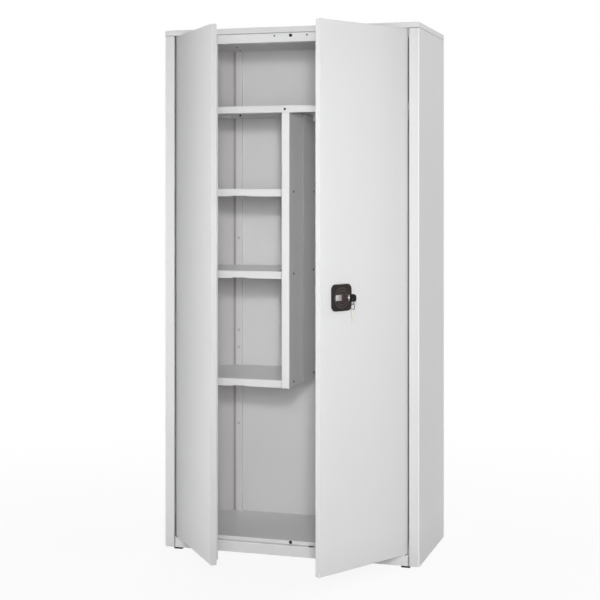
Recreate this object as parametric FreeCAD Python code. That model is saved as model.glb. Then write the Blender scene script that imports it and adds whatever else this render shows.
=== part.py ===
import FreeCAD, Part
import math
import os

# Utility cabinet of folded sheet steel with two hinged doors, in millimetres.
# The origin lies on the floor under the middle of the body. +X is the viewer's right,
# +Y runs from the doors to the back and +Z is up.
# Each door is built shut and then turned about its hinge pins to the open rest pose.

Vector = FreeCAD.Vector

# Body
WIDTH = 900.0
DEPTH = 420.0
HEIGHT = 1800.0
SHEET = 1.0
BEND = 1.5
SLIP = 0.3
FIT_GAP = 0.05
STILE_WIDTH = 35.0
STILE_RETURN = 24.0
STILE_LIP = 12.0
REAR_LIP = 18.0
CAP_HEIGHT = 18.0
CAP_SEAM = 1.0
OVERRUN = 5.0

# Top frame and ceiling
LINTEL_SETBACK = 23.0
LINTEL_DEPTH = 60.0
LINTEL_HEIGHT = 32.0
LEDGE_SETBACK = 1.2
CEILING_DROP = 40.0
CEILING_FLANGE = 8.0
CAP_RIB_INSETS = (198.0, 88.0)
CAP_RIB_HALF = 12.0
CAP_RIB_FLANGE = 15.0
CAP_RIB_END_GAP = 49.0
CEILING_BOLT_SIDE_INSETS = (178.0, 153.0)
CEILING_BOLT_OFFSET = 20.0

# Floor, plinth and feet
LEDGE_TOP = 42.0
FLOOR_TOP = 54.0
FLOOR_FLANGE = 24.0
FLOOR_RIB_HALF = 20.0
FLOOR_RIB_FLANGE = 15.0
FLOOR_RIB_DROP = 25.0
FLOOR_RIB_END_GAP = 9.0
PLINTH_TOP = 40.0
PLINTH_RETURN = 20.0
FOOT_HEIGHT = 6.0
FOOT_SIDE = 30.0
FOOT_INSET = 47.0
FOOT_FRONT_SETBACK = 17.0
FOOT_REAR_INSET = 44.0
FOOT_CORNER = 3.0
FOOT_SCREW_RADIUS = 4.0
FOOT_SCREW_TOP = 22.0
FOOT_SCREW_BITE = 3.0
FOOT_PLATE = 2.0
FOOT_PLATE_WIDTH = 74.0
FOOT_PLATE_REACH = 36.0

# Back and rear corner uprights
BACK_INSET = 24.0
CORNER_REACH = 96.0
CORNER_FLANGE = 14.0
GROOVE_INSET = 111.0
GROOVE_WIDTH = 10.0
STRIP_WIDTH = 26.0
STRIP_RISE = 10.0
STRIP_HOLE_RADIUS = 3.4
STRIP_HOLE_HEIGHTS = (379.0, 662.0, 725.0, 1067.0)

# Shelves and divider
SHELF_SETBACK = 30.0
SHELF_LIP = 14.0
SHELF_NOTCH_GAP = 1.0
TOP_BAY = 216.0
TOP_SHELF_THICKNESS = 24.0
SHELF_THICKNESS = 26.0
BAY_HEIGHTS = (260.5, 256.0, 345.5)
SHELF_NAMES = ("upper_shelf", "middle_shelf", "lower_shelf")
LIP_NOTCH_OFFSET = 150.0
LIP_NOTCH_WIDTH = 56.0
LIP_NOTCH_HEIGHT = 3.0
RELIEF_RADIUS = 1.6
RELIEF_INSET = 3.0
DIVIDER_FACE = -7.0
DIVIDER_STRIP = 28.0
DIVIDER_RETURN = 15.0
DIVIDER_REAR_FLANGE = 25.0
DIVIDER_RIB_START = 184.0
DIVIDER_RIB_WIDTH = 62.0
DIVIDER_RIB_RISE = 2.0
ANGLE_LEG = 15.0
ANGLE_SETBACK = 60.0
ANGLE_END_GAP = 6.0

# Screws, rivets and buffers
SCREW_RADIUS = 2.0
SCREW_HEAD_RADIUS = 4.0
SCREW_HEAD_HEIGHT = 2.4
SCREW_LENGTH = 9.0
SCREW_HOLE_GAP = 0.1
DIVIDER_SCREW_SETBACK = 80.0
DIVIDER_SCREW_INSET = 74.0
DIVIDER_SCREW_DROP = 9.0
SHELF_SCREW_X = -22.8
REAR_SCREW_INSET = 19.4
ANGLE_RIVET_INSET = 30.0
RIVET_RADIUS = 3.0
RIVET_HEIGHT = 1.2
RIVET_SHANK = 1.6
LINTEL_RIVET_X = 58.0
LINTEL_MARK_DROP = 10.0
BUFFER_RADIUS = 4.6
BUFFER_HEIGHT = 2.6
BUFFER_STEM = 2.5
BUFFER_BUTTON = 3.2
LOWER_BUFFER_DROP = 5.8

# Hook rail and hooks in the broom bay
RAIL_INSET = 141.0
RAIL_FLANGE = 15.0
RAIL_DROP = 43.0
RAIL_START_GAP = 17.0
RAIL_END_GAP = 3.7
HOOK_COUNT = 4
HOOK_WIRE = 2.0
HOOK_REACH = 34.0
HOOK_RISE = 16.0
HOOK_BEND = 6.0
HOOK_HEIGHT_ABOVE_RAIL_EDGE = 4.0

# Doors and hinges
DOOR_THICKNESS = 20.0
DOOR_SIDE_GAP = 4.5
DOOR_MIDDLE_GAP = 3.0
DOOR_TOP_GAP = 3.0
DOOR_BOTTOM_GAP = 2.5
DOOR_BEND = 1.0
DOOR_LIP = 14.0
LEFT_OPEN_ANGLE = 52.25
RIGHT_OPEN_ANGLE = 60.8
PIN_INSET = 6.0
PIN_SETBACK = 5.0
PIN_RADIUS = 2.5
PIN_REACH = 6.0
PIN_COLLAR_RADIUS = 3.6
RUNNING_GAP = 0.05
BUSH_RADIUS = 3.7
BUSH_LIP = 1.0
BUSH_LENGTH = 5.0
BLOCK_HEIGHT = 18.0
BLOCK_WIDTH = 15.0
BLOCK_DEPTH = 12.0
DOOR_RIB_HALF = 18.0
DOOR_RIB_FLANGE = 12.0
DOOR_RIB_MARGIN = 22.0
CLOSING_STRIP_OVERLAP = 6.5
CLOSING_STRIP_SEAT = 13.0
CLOSING_STRIP_JOGGLE = 0.8
CLOSING_STRIP_MARGIN = 8.0
STRIP_RIVET_COUNT = 6
STRIP_RIVET_INSET = 9.0

# Rotary lock in the right door
LOCK_INSET = 91.0
LOCK_HEIGHT = 908.0
PLATE_WIDTH = 88.0
PLATE_HEIGHT = 86.0
PLATE_THICKNESS = 7.0
PLATE_CORNER = 14.0
PLATE_EDGE = 2.5
WELL_DEPTH = 3.5
KNOB_RADIUS = 34.0
KNOB_THICKNESS = 3.0
KNOB_GAP = 0.6
KNOB_GROOVE_RADII = (17.0, 27.0)
KNOB_GROOVE_WIDTH = 2.0
KNOB_GROOVE_DEPTH = 1.0
GRIP_HALF_LENGTH = 31.5
GRIP_HALF_HEIGHT = 10.5
GRIP_RISE = 10.2
GRIP_CORNER = 3.0
GRIP_EDGE = 1.5
LABEL_LENGTH = 28.0
LABEL_HEIGHT = 18.0
LABEL_THICKNESS = 0.8
LABEL_OFFSET = 16.5
CYLINDER_OFFSET = 21.0
CYLINDER_RADIUS = 8.5
CYLINDER_PROUD = 2.5
CYLINDER_LENGTH = 12.0
PLUG_RADIUS = 5.5
PLUG_LENGTH = 11.0
KEYWAY_GAP = 0.1
BLADE_THICKNESS = 2.0
BLADE_HEIGHT = 7.0
BLADE_DEPTH = 9.0
BLADE_SHOW = 2.5
BLADE_TANG = 7.0
KEY_HEAD_LENGTH = 24.0
KEY_HEAD_HEIGHT = 21.0
KEY_HEAD_THICKNESS = 5.0
KEY_HEAD_CORNER = 8.0
KEY_HEAD_EDGE = 1.0
KEY_HOLE_RADIUS = 2.6
KEY_HOLE_FROM_END = 11.0
KEY_HOLE_FROM_EDGE = 4.3
LINK_RADIUS = 6.5
LINK_WIRE = 0.6
RING_RADIUS = 9.0
RING_WIRE = 0.9
LOOSE_GAP = 0.3
SPARE_BOW_RADIUS = 8.0
SPARE_HOLE_RADIUS = 2.2
SPARE_HOLE_RISE = 3.5
SPARE_THICKNESS = 2.0
SPARE_BLADE_WIDTH = 6.0
SPARE_BLADE_LENGTH = 26.0
SPARE_BITE_DEPTH = 1.5
SPARE_BITE_WIDTH = 3.0
SPARE_BITE_PITCH = 5.0
SPARE_BITES = 4

# Lock works inside the right door
MODULE = 1.5
PINION_TEETH = 12
PRESSURE_ANGLE = 25.0
ADDENDUM_SHARE = 0.9
DEDENDUM_SHARE = 1.25
BACKLASH = 0.25
FLANK_STEPS = 5
TURN_ANGLE = 90.0
ROD_WIDTH = 10.0
ROD_THICKNESS = 5.0
ROD_SETBACK = 6.5
ROD_CHAMFER = 2.0
ROD_TIP_GAP = 1.5
ROD_CLEARANCE = 1.0
RACK_OVERLAP = 22.0
SPINDLE_RADIUS = 5.0
SPINDLE_END_GAP = 2.8
CASE_HALF_WIDTH = 26.0
CASE_HALF_HEIGHT = 42.0
CASE_DEPTH = 16.0
CASE_WALL = 1.2
CASE_SLOT_GAP = 0.4
LOCK_SCREW_OFFSET = 33.0
LOCK_SCREW_BITE = 3.0
GUIDE_HALF_WIDTH = 11.0
GUIDE_DEPTH = 13.5
GUIDE_HEIGHT = 14.0
GUIDE_END_MARGIN = 70.0
GUIDE_LOCK_MARGIN = 220.0
KEEPER_WALL = 2.0
KEEPER_FLANGE = 1.0

# Places worked out from the sizes above
HALF_WIDTH = WIDTH / 2
FRONT = -DEPTH / 2
BACK = DEPTH / 2
HALF_OPENING = HALF_WIDTH - STILE_WIDTH
WALL_INSIDE = HALF_WIDTH - SHEET
PANEL_TOP = HEIGHT - CAP_HEIGHT - CAP_SEAM
CAP_BOTTOM = HEIGHT - CAP_HEIGHT
LINTEL_BOTTOM = CAP_BOTTOM - LINTEL_HEIGHT
CEILING_UNDER = HEIGHT - CEILING_DROP
CEILING_TOP = CEILING_UNDER + SHEET
LINTEL_FACE = FRONT + LINTEL_SETBACK
BACK_FACE = BACK - BACK_INSET
STRIP_FACE = BACK_FACE - STRIP_RISE
GROOVE_START = HALF_WIDTH - GROOVE_INSET
STRIP_OUTER = GROOVE_START - GROOVE_WIDTH
STRIP_INNER = STRIP_OUTER - STRIP_WIDTH
STRIP_MIDDLE = STRIP_OUTER - STRIP_WIDTH / 2
REAR_SCREW_X = STRIP_OUTER - REAR_SCREW_INSET
CORNER_WALL = WALL_INSIDE - SHEET
CORNER_START = BACK_FACE - CORNER_REACH
ANGLE_START = FRONT + ANGLE_SETBACK
ANGLE_END = CORNER_START - CORNER_FLANGE - ANGLE_END_GAP
RAIL_FACE = BACK_FACE - RAIL_INSET
FOOT_REAR = BACK - FOOT_REAR_INSET
CAP_RIB_MIDDLES = [BACK - inset for inset in CAP_RIB_INSETS]
SHELF_FRONT = FRONT + SHELF_SETBACK
TOP_SHELF_TOP = LINTEL_BOTTOM - TOP_BAY
TOP_SHELF_UNDER = TOP_SHELF_TOP - TOP_SHELF_THICKNESS
DIVIDER_LEFT = DIVIDER_FACE - DIVIDER_STRIP
LIP_NOTCH_CENTRE = DIVIDER_LEFT - LIP_NOTCH_OFFSET
RAIL_START = DIVIDER_FACE + RAIL_START_GAP
RAIL_END = CORNER_WALL - SLIP - SHELF_LIP - RAIL_END_GAP
HALF_MIDDLE_GAP = DOOR_MIDDLE_GAP / 2
DOOR_EDGE = HALF_OPENING - DOOR_SIDE_GAP
DOOR_TOP = CAP_BOTTOM - DOOR_TOP_GAP
DOOR_BOTTOM = LEDGE_TOP + DOOR_BOTTOM_GAP
DOOR_REAR = FRONT + DOOR_THICKNESS
PIN_X = DOOR_EDGE - PIN_INSET
PIN_Y = FRONT + PIN_SETBACK
LOCK_X = HALF_MIDDLE_GAP + LOCK_INSET
PITCH_RADIUS = MODULE * PINION_TEETH / 2
RACK_ROOT = PITCH_RADIUS + DEDENDUM_SHARE * MODULE
ROD_X = RACK_ROOT + ROD_WIDTH / 2
ROD_FRONT = FRONT + ROD_SETBACK
ROD_BACK = ROD_FRONT + ROD_THICKNESS
ROD_Y = ROD_FRONT + ROD_THICKNESS / 2
UPPER_ROD_TIP = DOOR_TOP - SHEET - ROD_TIP_GAP
LOWER_ROD_TIP = DOOR_BOTTOM + SHEET + ROD_TIP_GAP


def shelf_tops():
    """Top heights of the small shelves, from the highest to the lowest."""
    tops = []
    level = TOP_SHELF_UNDER
    for bay in BAY_HEIGHTS:
        tops.append(level - bay)
        level = level - bay - SHELF_THICKNESS
    return tops


SHELF_TOPS = shelf_tops()
DIVIDER_BOTTOM = SHELF_TOPS[-1] - SHELF_THICKNESS - SHEET


def box(x0, x1, y0, y1, z0, z1):
    """Solid box between pairs of opposite faces."""
    return Part.makeBox(x1 - x0, y1 - y0, z1 - z0, Vector(x0, y0, z0))


def cylinder(radius, start, end):
    """Solid cylinder between two points."""
    axis = end - start
    return Part.makeCylinder(radius, axis.Length, start, axis)


def prism(points, low, high):
    """Upright prism over a plan outline of (x, y) points."""
    corners = [Vector(x, y, low) for x, y in points]
    face = Part.Face(Part.makePolygon(corners + corners[:1]))
    return face.extrude(Vector(0, 0, high - low))


def mirrored(shape):
    """Copy on the other side of the middle plane."""
    return shape.mirror(Vector(0, 0, 0), Vector(1, 0, 0))


def edges_in_plane(shape, axis, value):
    """Edges that lie wholly in the plane where the given axis has the given value."""
    found = []
    for edge in shape.Edges:
        bounds = edge.BoundBox
        low = (bounds.XMin, bounds.YMin, bounds.ZMin)[axis]
        high = (bounds.XMax, bounds.YMax, bounds.ZMax)[axis]
        if math.isclose(low, value, abs_tol=SLIP) and math.isclose(high, value, abs_tol=SLIP):
            found.append(edge)
    return found


def edges_along(shape, axis):
    """Straight edges that run along the given axis."""
    found = []
    for edge in shape.Edges:
        bounds = edge.BoundBox
        lengths = (bounds.XLength, bounds.YLength, bounds.ZLength)
        others = [lengths[other] for other in range(3) if other != axis]
        if max(others) < SLIP < lengths[axis]:
            found.append(edge)
    return found


def path_edges(points, side, sheet, bend, distance):
    """Edges of one face of a folded sheet, at a signed distance to the left of its corners."""
    corners = [Vector(u, v, 0) for u, v in points]
    steps = [(end - start).normalize() for start, end in zip(corners, corners[1:])]
    lefts = [Vector(-step.y, step.x, 0) for step in steps]
    edges = []
    here = corners[0] + lefts[0] * distance
    for index in range(1, len(steps)):
        before = steps[index - 1]
        after = steps[index]
        corner = corners[index]
        turn = math.copysign(1, before.x * after.y - before.y * after.x)
        radius = bend + sheet if turn == side else bend
        tangent = radius * math.tan(before.getAngle(after) / 2)
        centre = corner - before * tangent + lefts[index - 1] * (turn * radius)
        arc_start = corner - before * tangent + lefts[index - 1] * distance
        arc_end = corner + after * tangent + lefts[index] * distance
        arc_middle = centre + (corner - centre).normalize() * (radius - turn * distance)
        edges.append(Part.makeLine(here, arc_start))
        edges.append(Part.Arc(arc_start, arc_middle, arc_end).toShape())
        here = arc_end
    edges.append(Part.makeLine(here, corners[-1] + lefts[-1] * distance))
    return edges


def folded(points, side, low, high, sheet=SHEET, bend=BEND):
    """Folded sheet in plan: corners on its outer face, the sheet on their left (1) or right (-1)."""
    near = path_edges(points, side, sheet, bend, 0)
    far = path_edges(points, side, sheet, bend, side * sheet)
    first_cap = Part.makeLine(near[0].Vertexes[0].Point, far[0].Vertexes[0].Point)
    last_cap = Part.makeLine(near[-1].Vertexes[-1].Point, far[-1].Vertexes[-1].Point)
    loop = Part.Wire(Part.__sortEdges__(near + [last_cap] + far + [first_cap]))
    solid = Part.Face(loop).extrude(Vector(0, 0, high - low))
    solid.translate(Vector(0, 0, low))
    return solid


def folded_rail(points, side, left, right, sheet=SHEET, bend=BEND):
    """Folded sheet with a (y, z) section that runs from left to right."""
    solid = folded(points, side, left, right, sheet, bend)
    turned = FreeCAD.Matrix(0, 0, 1, 0, 1, 0, 0, 0, 0, 1, 0, 0, 0, 0, 0, 1)
    return solid.transformGeometry(turned)


def bent_wire(points, radius, bend):
    """Round wire along a plan path, its corners bent to one radius."""
    path = Part.Wire(path_edges(points, 1, 0, bend, 0))
    first = path.Edges[0]
    start = first.Vertexes[0].Point
    ring = Part.Wire(Part.makeCircle(radius, start, first.tangentAt(first.FirstParameter)))
    return path.makePipeShell([ring], True, False)


def screw(point, direction, length=SCREW_LENGTH, shank=SCREW_RADIUS, head=SCREW_HEAD_RADIUS):
    """Pan-head screw: its head stands on the point and its shank runs along the direction."""
    outward = direction * -1
    body = cylinder(shank, point, point + direction * length)
    cap = cylinder(head, point, point + outward * SCREW_HEAD_HEIGHT)
    rim = [edge for edge in cap.Edges if is_far_ring(edge, point, outward)]
    cap = cap.makeFillet(SCREW_HEAD_HEIGHT / 2, rim)
    return cap.fuse(body).removeSplitter()


def is_far_ring(edge, point, outward):
    """True for the circle on the outer end of a head."""
    reach = (edge.CenterOfMass - point).dot(outward)
    return len(edge.Vertexes) == 1 and reach > SCREW_HEAD_HEIGHT / 2


def rivet(point, direction):
    """Flat-head rivet through a pair of sheets."""
    shank_end = point + direction * (SHEET + SHEET)
    shank = cylinder(RIVET_SHANK, point, shank_end)
    head = cylinder(RIVET_RADIUS, point, point - direction * RIVET_HEIGHT)
    return head.fuse(shank).removeSplitter()


def open_door(shape, side):
    """Turn a shut door's piece to its rest pose; side is -1 for the left door, 1 for the right."""
    angle = RIGHT_OPEN_ANGLE if side > 0 else -LEFT_OPEN_ANGLE
    turned = shape.copy()
    turned.rotate(Vector(side * PIN_X, PIN_Y, 0), Vector(0, 0, 1), angle)
    return turned


def keep(name, shape):
    """Write one piece, or one group of like pieces, under its name."""
    solids = len(shape.Solids)
    print(name, solids, round(shape.Volume, 1), shape.isValid())
    shape.exportStep("parts/" + name + ".step")


def left_side_panel():
    """Outer side with the front stile, its return and lip, and the rear lip."""
    lip_y = FRONT + STILE_RETURN
    points = [
        (-HALF_OPENING - STILE_LIP, lip_y),
        (-HALF_OPENING, lip_y),
        (-HALF_OPENING, FRONT),
        (-HALF_WIDTH, FRONT),
        (-HALF_WIDTH, BACK),
        (-HALF_WIDTH + REAR_LIP, BACK),
    ]
    return folded(points, -1, FOOT_HEIGHT, PANEL_TOP)


def top_cap():
    """Lid with a skirt on all four sides and rounded bends."""
    outer = box(-HALF_WIDTH, HALF_WIDTH, FRONT, BACK, CAP_BOTTOM, HEIGHT)
    outer = outer.makeFillet(BEND + SHEET, edges_in_plane(outer, 2, HEIGHT) + edges_along(outer, 2))
    hollow = box(-WALL_INSIDE, WALL_INSIDE, FRONT + SHEET, BACK - SHEET, CAP_BOTTOM - OVERRUN, HEIGHT - SHEET)
    edges = edges_in_plane(hollow, 2, HEIGHT - SHEET) + edges_along(hollow, 2)
    return outer.cut(hollow.makeFillet(BEND, edges))


def rod_plan(side, gap):
    """Plan bounds of a lock rod with a gap all round; side is 1 for the upper rod, -1 for the lower."""
    middle = LOCK_X + side * ROD_X
    reach = ROD_WIDTH / 2 + gap
    return (middle - reach, middle + reach, ROD_FRONT - gap, ROD_BACK + gap)


def ledge_holes(side, low, high):
    """Cutters for the hinge bushes and the rod keeper in one ledge."""
    bush = cylinder(BUSH_RADIUS + FIT_GAP, Vector(PIN_X, PIN_Y, low), Vector(PIN_X, PIN_Y, high))
    keeper = box(*rod_plan(side, ROD_CLEARANCE + KEEPER_WALL), low, high)
    return [bush, mirrored(bush), keeper]


def front_lintel():
    """Box-section rail over the doors, its top running forward as a ledge."""
    ledge_edge = FRONT + LEDGE_SETBACK
    rear = FRONT + LINTEL_DEPTH
    points = [
        (ledge_edge, CAP_BOTTOM),
        (rear, CAP_BOTTOM),
        (rear, LINTEL_BOTTOM),
        (LINTEL_FACE, LINTEL_BOTTOM),
        (LINTEL_FACE, CAP_BOTTOM - SHEET - SLIP),
    ]
    rail = folded_rail(points, -1, -HALF_OPENING, HALF_OPENING)
    cutters = ledge_holes(1, CAP_BOTTOM - OVERRUN, CAP_BOTTOM + OVERRUN)
    mark_z = CAP_BOTTOM - LINTEL_MARK_DROP
    for x, radius in ((0, BUFFER_STEM), (LINTEL_RIVET_X, RIVET_SHANK), (-LINTEL_RIVET_X, RIVET_SHANK)):
        start = Vector(x, LINTEL_FACE - OVERRUN, mark_z)
        cutters.append(cylinder(radius + FIT_GAP, start, start + Vector(0, OVERRUN + OVERRUN, 0)))
    return rail.cut(cutters)


def ceiling_panel():
    """Inner top of the cabinet, with a rear flange between the uprights."""
    points = [
        (FRONT + LINTEL_DEPTH, CEILING_TOP),
        (BACK_FACE, CEILING_TOP),
        (BACK_FACE, CEILING_TOP - CEILING_FLANGE),
    ]
    panel = folded_rail(points, -1, -WALL_INSIDE, WALL_INSIDE)
    corner = box(STRIP_INNER, WALL_INSIDE + OVERRUN, STRIP_FACE - SLIP, BACK_FACE + OVERRUN,
                 CEILING_UNDER - CEILING_FLANGE - OVERRUN, CEILING_UNDER)
    holes = [cylinder(SCREW_RADIUS + SCREW_HOLE_GAP, point - Vector(0, 0, OVERRUN), point + Vector(0, 0, OVERRUN))
             for point in ceiling_bolt_points()]
    return panel.cut([corner, mirrored(corner)] + holes)


def ceiling_bolt_points():
    """Points on the underside of the ceiling where the cap ribs are bolted."""
    points = []
    for middle, inset in zip(CAP_RIB_MIDDLES, CEILING_BOLT_SIDE_INSETS):
        for side in (-1, 1):
            x = side * (HALF_WIDTH - inset)
            points.append(Vector(x, middle + CEILING_BOLT_OFFSET, CEILING_UNDER))
    return points


def cap_ribs():
    """Two hat-section ribs between the ceiling and the cap."""
    ribs = []
    half_length = WALL_INSIDE - CAP_RIB_END_GAP
    seat = CEILING_TOP + SHEET
    for middle in CAP_RIB_MIDDLES:
        reach = CAP_RIB_HALF + CAP_RIB_FLANGE
        points = [
            (middle - reach, seat),
            (middle - CAP_RIB_HALF, seat),
            (middle - CAP_RIB_HALF, HEIGHT - SHEET),
            (middle + CAP_RIB_HALF, HEIGHT - SHEET),
            (middle + CAP_RIB_HALF, seat),
            (middle + reach, seat),
        ]
        ribs.append(folded_rail(points, -1, -half_length, half_length))
    holes = [cylinder(SCREW_RADIUS + SCREW_HOLE_GAP, point, point + Vector(0, 0, OVERRUN))
             for point in ceiling_bolt_points()]
    return Part.makeCompound(ribs).cut(holes)


def back_panel():
    """Back tray, its flanges turned to the rear against the sides and clear of their bends."""
    rear = BACK - SHEET - BEND
    outer = box(-WALL_INSIDE, WALL_INSIDE, BACK_FACE, rear, FOOT_HEIGHT, PANEL_TOP)
    outer = outer.makeFillet(BEND + SHEET, edges_in_plane(outer, 1, BACK_FACE))
    hollow = box(-WALL_INSIDE + SHEET, WALL_INSIDE - SHEET, BACK_FACE + SHEET, rear + OVERRUN,
                 FOOT_HEIGHT + SHEET, PANEL_TOP - SHEET)
    return outer.cut(hollow.makeFillet(BEND, edges_in_plane(hollow, 1, BACK_FACE + SHEET)))


def left_upright():
    """Rear corner stiffener, with a raised perforated strip beside the back panel."""
    points = [
        (-CORNER_WALL, CORNER_START - CORNER_FLANGE),
        (-CORNER_WALL, CORNER_START),
        (-GROOVE_START, BACK_FACE - SHEET),
        (-STRIP_OUTER, BACK_FACE - SHEET),
        (-STRIP_OUTER, STRIP_FACE),
        (-STRIP_INNER, STRIP_FACE),
        (-STRIP_INNER, BACK_FACE),
    ]
    post = folded(points, 1, FLOOR_TOP, CEILING_UNDER)
    holes = []
    for height in STRIP_HOLE_HEIGHTS:
        start = Vector(-STRIP_MIDDLE, STRIP_FACE - SHEET, height)
        holes.append(cylinder(STRIP_HOLE_RADIUS, start, start + Vector(0, OVERRUN, 0)))
    shank = Vector(-REAR_SCREW_X, STRIP_FACE - SHEET, rear_screw_height())
    holes.append(cylinder(SCREW_RADIUS + SCREW_HOLE_GAP, shank, shank + Vector(0, OVERRUN, 0)))
    return post.cut(holes)


def rear_screw_height():
    """Height of the screws through the rear flange of the top shelf."""
    return TOP_SHELF_UNDER + TOP_SHELF_THICKNESS / 2


def floor_tray():
    """Floor with its raised front lip, the door ledge before it and the rear flange."""
    points = [
        (FRONT + LEDGE_SETBACK, LEDGE_TOP),
        (LINTEL_FACE, LEDGE_TOP),
        (LINTEL_FACE, FLOOR_TOP),
        (BACK_FACE, FLOOR_TOP),
        (BACK_FACE, FLOOR_TOP - FLOOR_FLANGE),
    ]
    tray = folded_rail(points, -1, -WALL_INSIDE, WALL_INSIDE)
    notch = box(HALF_OPENING, WALL_INSIDE + OVERRUN, FRONT - OVERRUN, FRONT + STILE_RETURN + SLIP, 0, FLOOR_TOP)
    cutters = [notch, mirrored(notch)] + ledge_holes(-1, LEDGE_TOP - OVERRUN, LEDGE_TOP + OVERRUN)
    stem = Vector(0, LINTEL_FACE - OVERRUN, FLOOR_TOP - LOWER_BUFFER_DROP)
    cutters.append(cylinder(BUFFER_STEM + FIT_GAP, stem, stem + Vector(0, OVERRUN + OVERRUN, 0)))
    return tray.cut(cutters)


def floor_rib():
    """Channel under the floor from side to side."""
    middle = (FRONT + BACK) / 2
    seat = FLOOR_TOP - SHEET
    low = seat - FLOOR_RIB_DROP
    reach = FLOOR_RIB_HALF + FLOOR_RIB_FLANGE
    points = [
        (middle - reach, seat),
        (middle - FLOOR_RIB_HALF, seat),
        (middle - FLOOR_RIB_HALF, low),
        (middle + FLOOR_RIB_HALF, low),
        (middle + FLOOR_RIB_HALF, seat),
        (middle + reach, seat),
    ]
    half_length = WALL_INSIDE - FLOOR_RIB_END_GAP
    return folded_rail(points, -1, -half_length, half_length)


def foot_places():
    """Plan centres of the four feet by name."""
    x = HALF_WIDTH - FOOT_INSET
    front = FRONT + FOOT_FRONT_SETBACK
    return {
        "front_left_foot": (-x, front),
        "front_right_foot": (x, front),
        "rear_left_foot": (-x, FOOT_REAR),
        "rear_right_foot": (x, FOOT_REAR),
    }


def foot_screw_cutters(low, high):
    """Clearance holes for the four foot screws."""
    radius = FOOT_SCREW_RADIUS + SCREW_HOLE_GAP
    return [cylinder(radius, Vector(x, y, low), Vector(x, y, high)) for x, y in foot_places().values()]


def plinth():
    """Front base panel between the stiles, with a bottom flange and end flanges."""
    outer = box(-HALF_OPENING, HALF_OPENING, FRONT, FRONT + PLINTH_RETURN, FOOT_HEIGHT, PLINTH_TOP)
    outer = outer.makeFillet(BEND, front_base_edge(outer))
    hollow = box(-HALF_OPENING + SHEET, HALF_OPENING - SHEET, FRONT + SHEET, BACK, FOOT_HEIGHT + SHEET,
                 PLINTH_TOP + OVERRUN)
    return outer.cut([hollow] + foot_screw_cutters(0, PLINTH_TOP))


def front_base_edge(shape):
    """The lower front edge of the plinth."""
    low = edges_in_plane(shape, 2, FOOT_HEIGHT)
    return [edge for edge in low if edge.BoundBox.YMax < FRONT + SLIP]


def foot(x, y):
    """Square plastic foot with rounded corners and a blind hole for its screw."""
    half = FOOT_SIDE / 2
    pad = box(x - half, x + half, y - half, y + half, 0, FOOT_HEIGHT)
    pad = pad.makeFillet(FOOT_CORNER, edges_along(pad, 2))
    socket = cylinder(FOOT_SCREW_RADIUS + FIT_GAP, Vector(x, y, FOOT_SCREW_BITE), Vector(x, y, FOOT_HEIGHT + OVERRUN))
    return pad.cut(socket)


def foot_screws():
    """Four threaded studs that carry the feet."""
    studs = []
    for x, y in foot_places().values():
        studs.append(cylinder(FOOT_SCREW_RADIUS, Vector(x, y, FOOT_SCREW_BITE), Vector(x, y, FOOT_SCREW_TOP)))
    return Part.makeCompound(studs)


def foot_plates():
    """Four corner plates that the foot screws pass through."""
    low = FOOT_HEIGHT + SHEET
    high = low + FOOT_PLATE
    step = FRONT + STILE_RETURN + SLIP
    inner = WALL_INSIDE - FOOT_PLATE_WIDTH
    front_points = [
        (inner, FRONT + SHEET),
        (HALF_OPENING - SHEET, FRONT + SHEET),
        (HALF_OPENING - SHEET, step),
        (WALL_INSIDE, step),
        (WALL_INSIDE, step + FOOT_PLATE_REACH),
        (inner, step + FOOT_PLATE_REACH),
    ]
    front_plate = prism(front_points, low, high)
    rear_plate = box(inner, WALL_INSIDE, FOOT_REAR - FOOT_PLATE_REACH, BACK_FACE,
                     FOOT_HEIGHT, FOOT_HEIGHT + FOOT_PLATE)
    plates = [front_plate, mirrored(front_plate), rear_plate, mirrored(rear_plate)]
    return Part.makeCompound(plates).cut(foot_screw_cutters(0, high + OVERRUN))


def corner_cut_y(x, gap):
    """Setback line of a shelf's cut corner at a distance x from the middle."""
    slope = (BACK_FACE - SHEET - CORNER_START) / (CORNER_WALL - GROOVE_START)
    return CORNER_START + (CORNER_WALL - x) * slope - gap * math.hypot(1, slope)


def corner_cut_x(y, gap):
    """Distance from the middle at which a shelf's cut corner reaches the line y."""
    slope = (BACK_FACE - SHEET - CORNER_START) / (CORNER_WALL - GROOVE_START)
    return CORNER_WALL - (y - CORNER_START + gap * math.hypot(1, slope)) / slope


def shelf_end(side, inset, front):
    """Plan points of a shelf end on a side wall, from front to rear."""
    x = CORNER_WALL - SLIP - inset
    rear = STRIP_FACE - inset
    gap = SHELF_NOTCH_GAP + inset
    return [(side * x, front), (side * x, corner_cut_y(x, gap)), (side * corner_cut_x(rear, gap), rear)]


def divider_end(inset, front):
    """Plan points of a small shelf's end behind and beside the divider's front strip."""
    strip_edge = DIVIDER_LEFT - SLIP - inset
    web = DIVIDER_FACE - SHEET - SLIP - inset
    behind_strip = SHELF_FRONT + DIVIDER_RETURN + SHEET + inset
    rear = STRIP_FACE - inset
    return [(strip_edge, front), (strip_edge, behind_strip), (web, behind_strip), (web, rear)]


def shelf_tray(right_end, low, high):
    """Shelf tray, open below, with a lip turned under along its front and ends."""
    def outline(inset, front):
        return shelf_end(-1, inset, front) + list(reversed(right_end(inset, front)))
    tray = prism(outline(0, SHELF_FRONT), low, high)
    front_edges = [edge for edge in edges_in_plane(tray, 1, SHELF_FRONT) if edge.BoundBox.XLength > SHELF_LIP]
    tray = tray.makeFillet(BEND, front_edges)
    hollow = prism(outline(SHEET, SHELF_FRONT + SHEET), low + SHEET, high - SHEET)
    mouth = prism(outline(SHELF_LIP, SHELF_FRONT + SHELF_LIP), low - OVERRUN, low + SHEET)
    return tray.cut([hollow, mouth])


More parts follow.
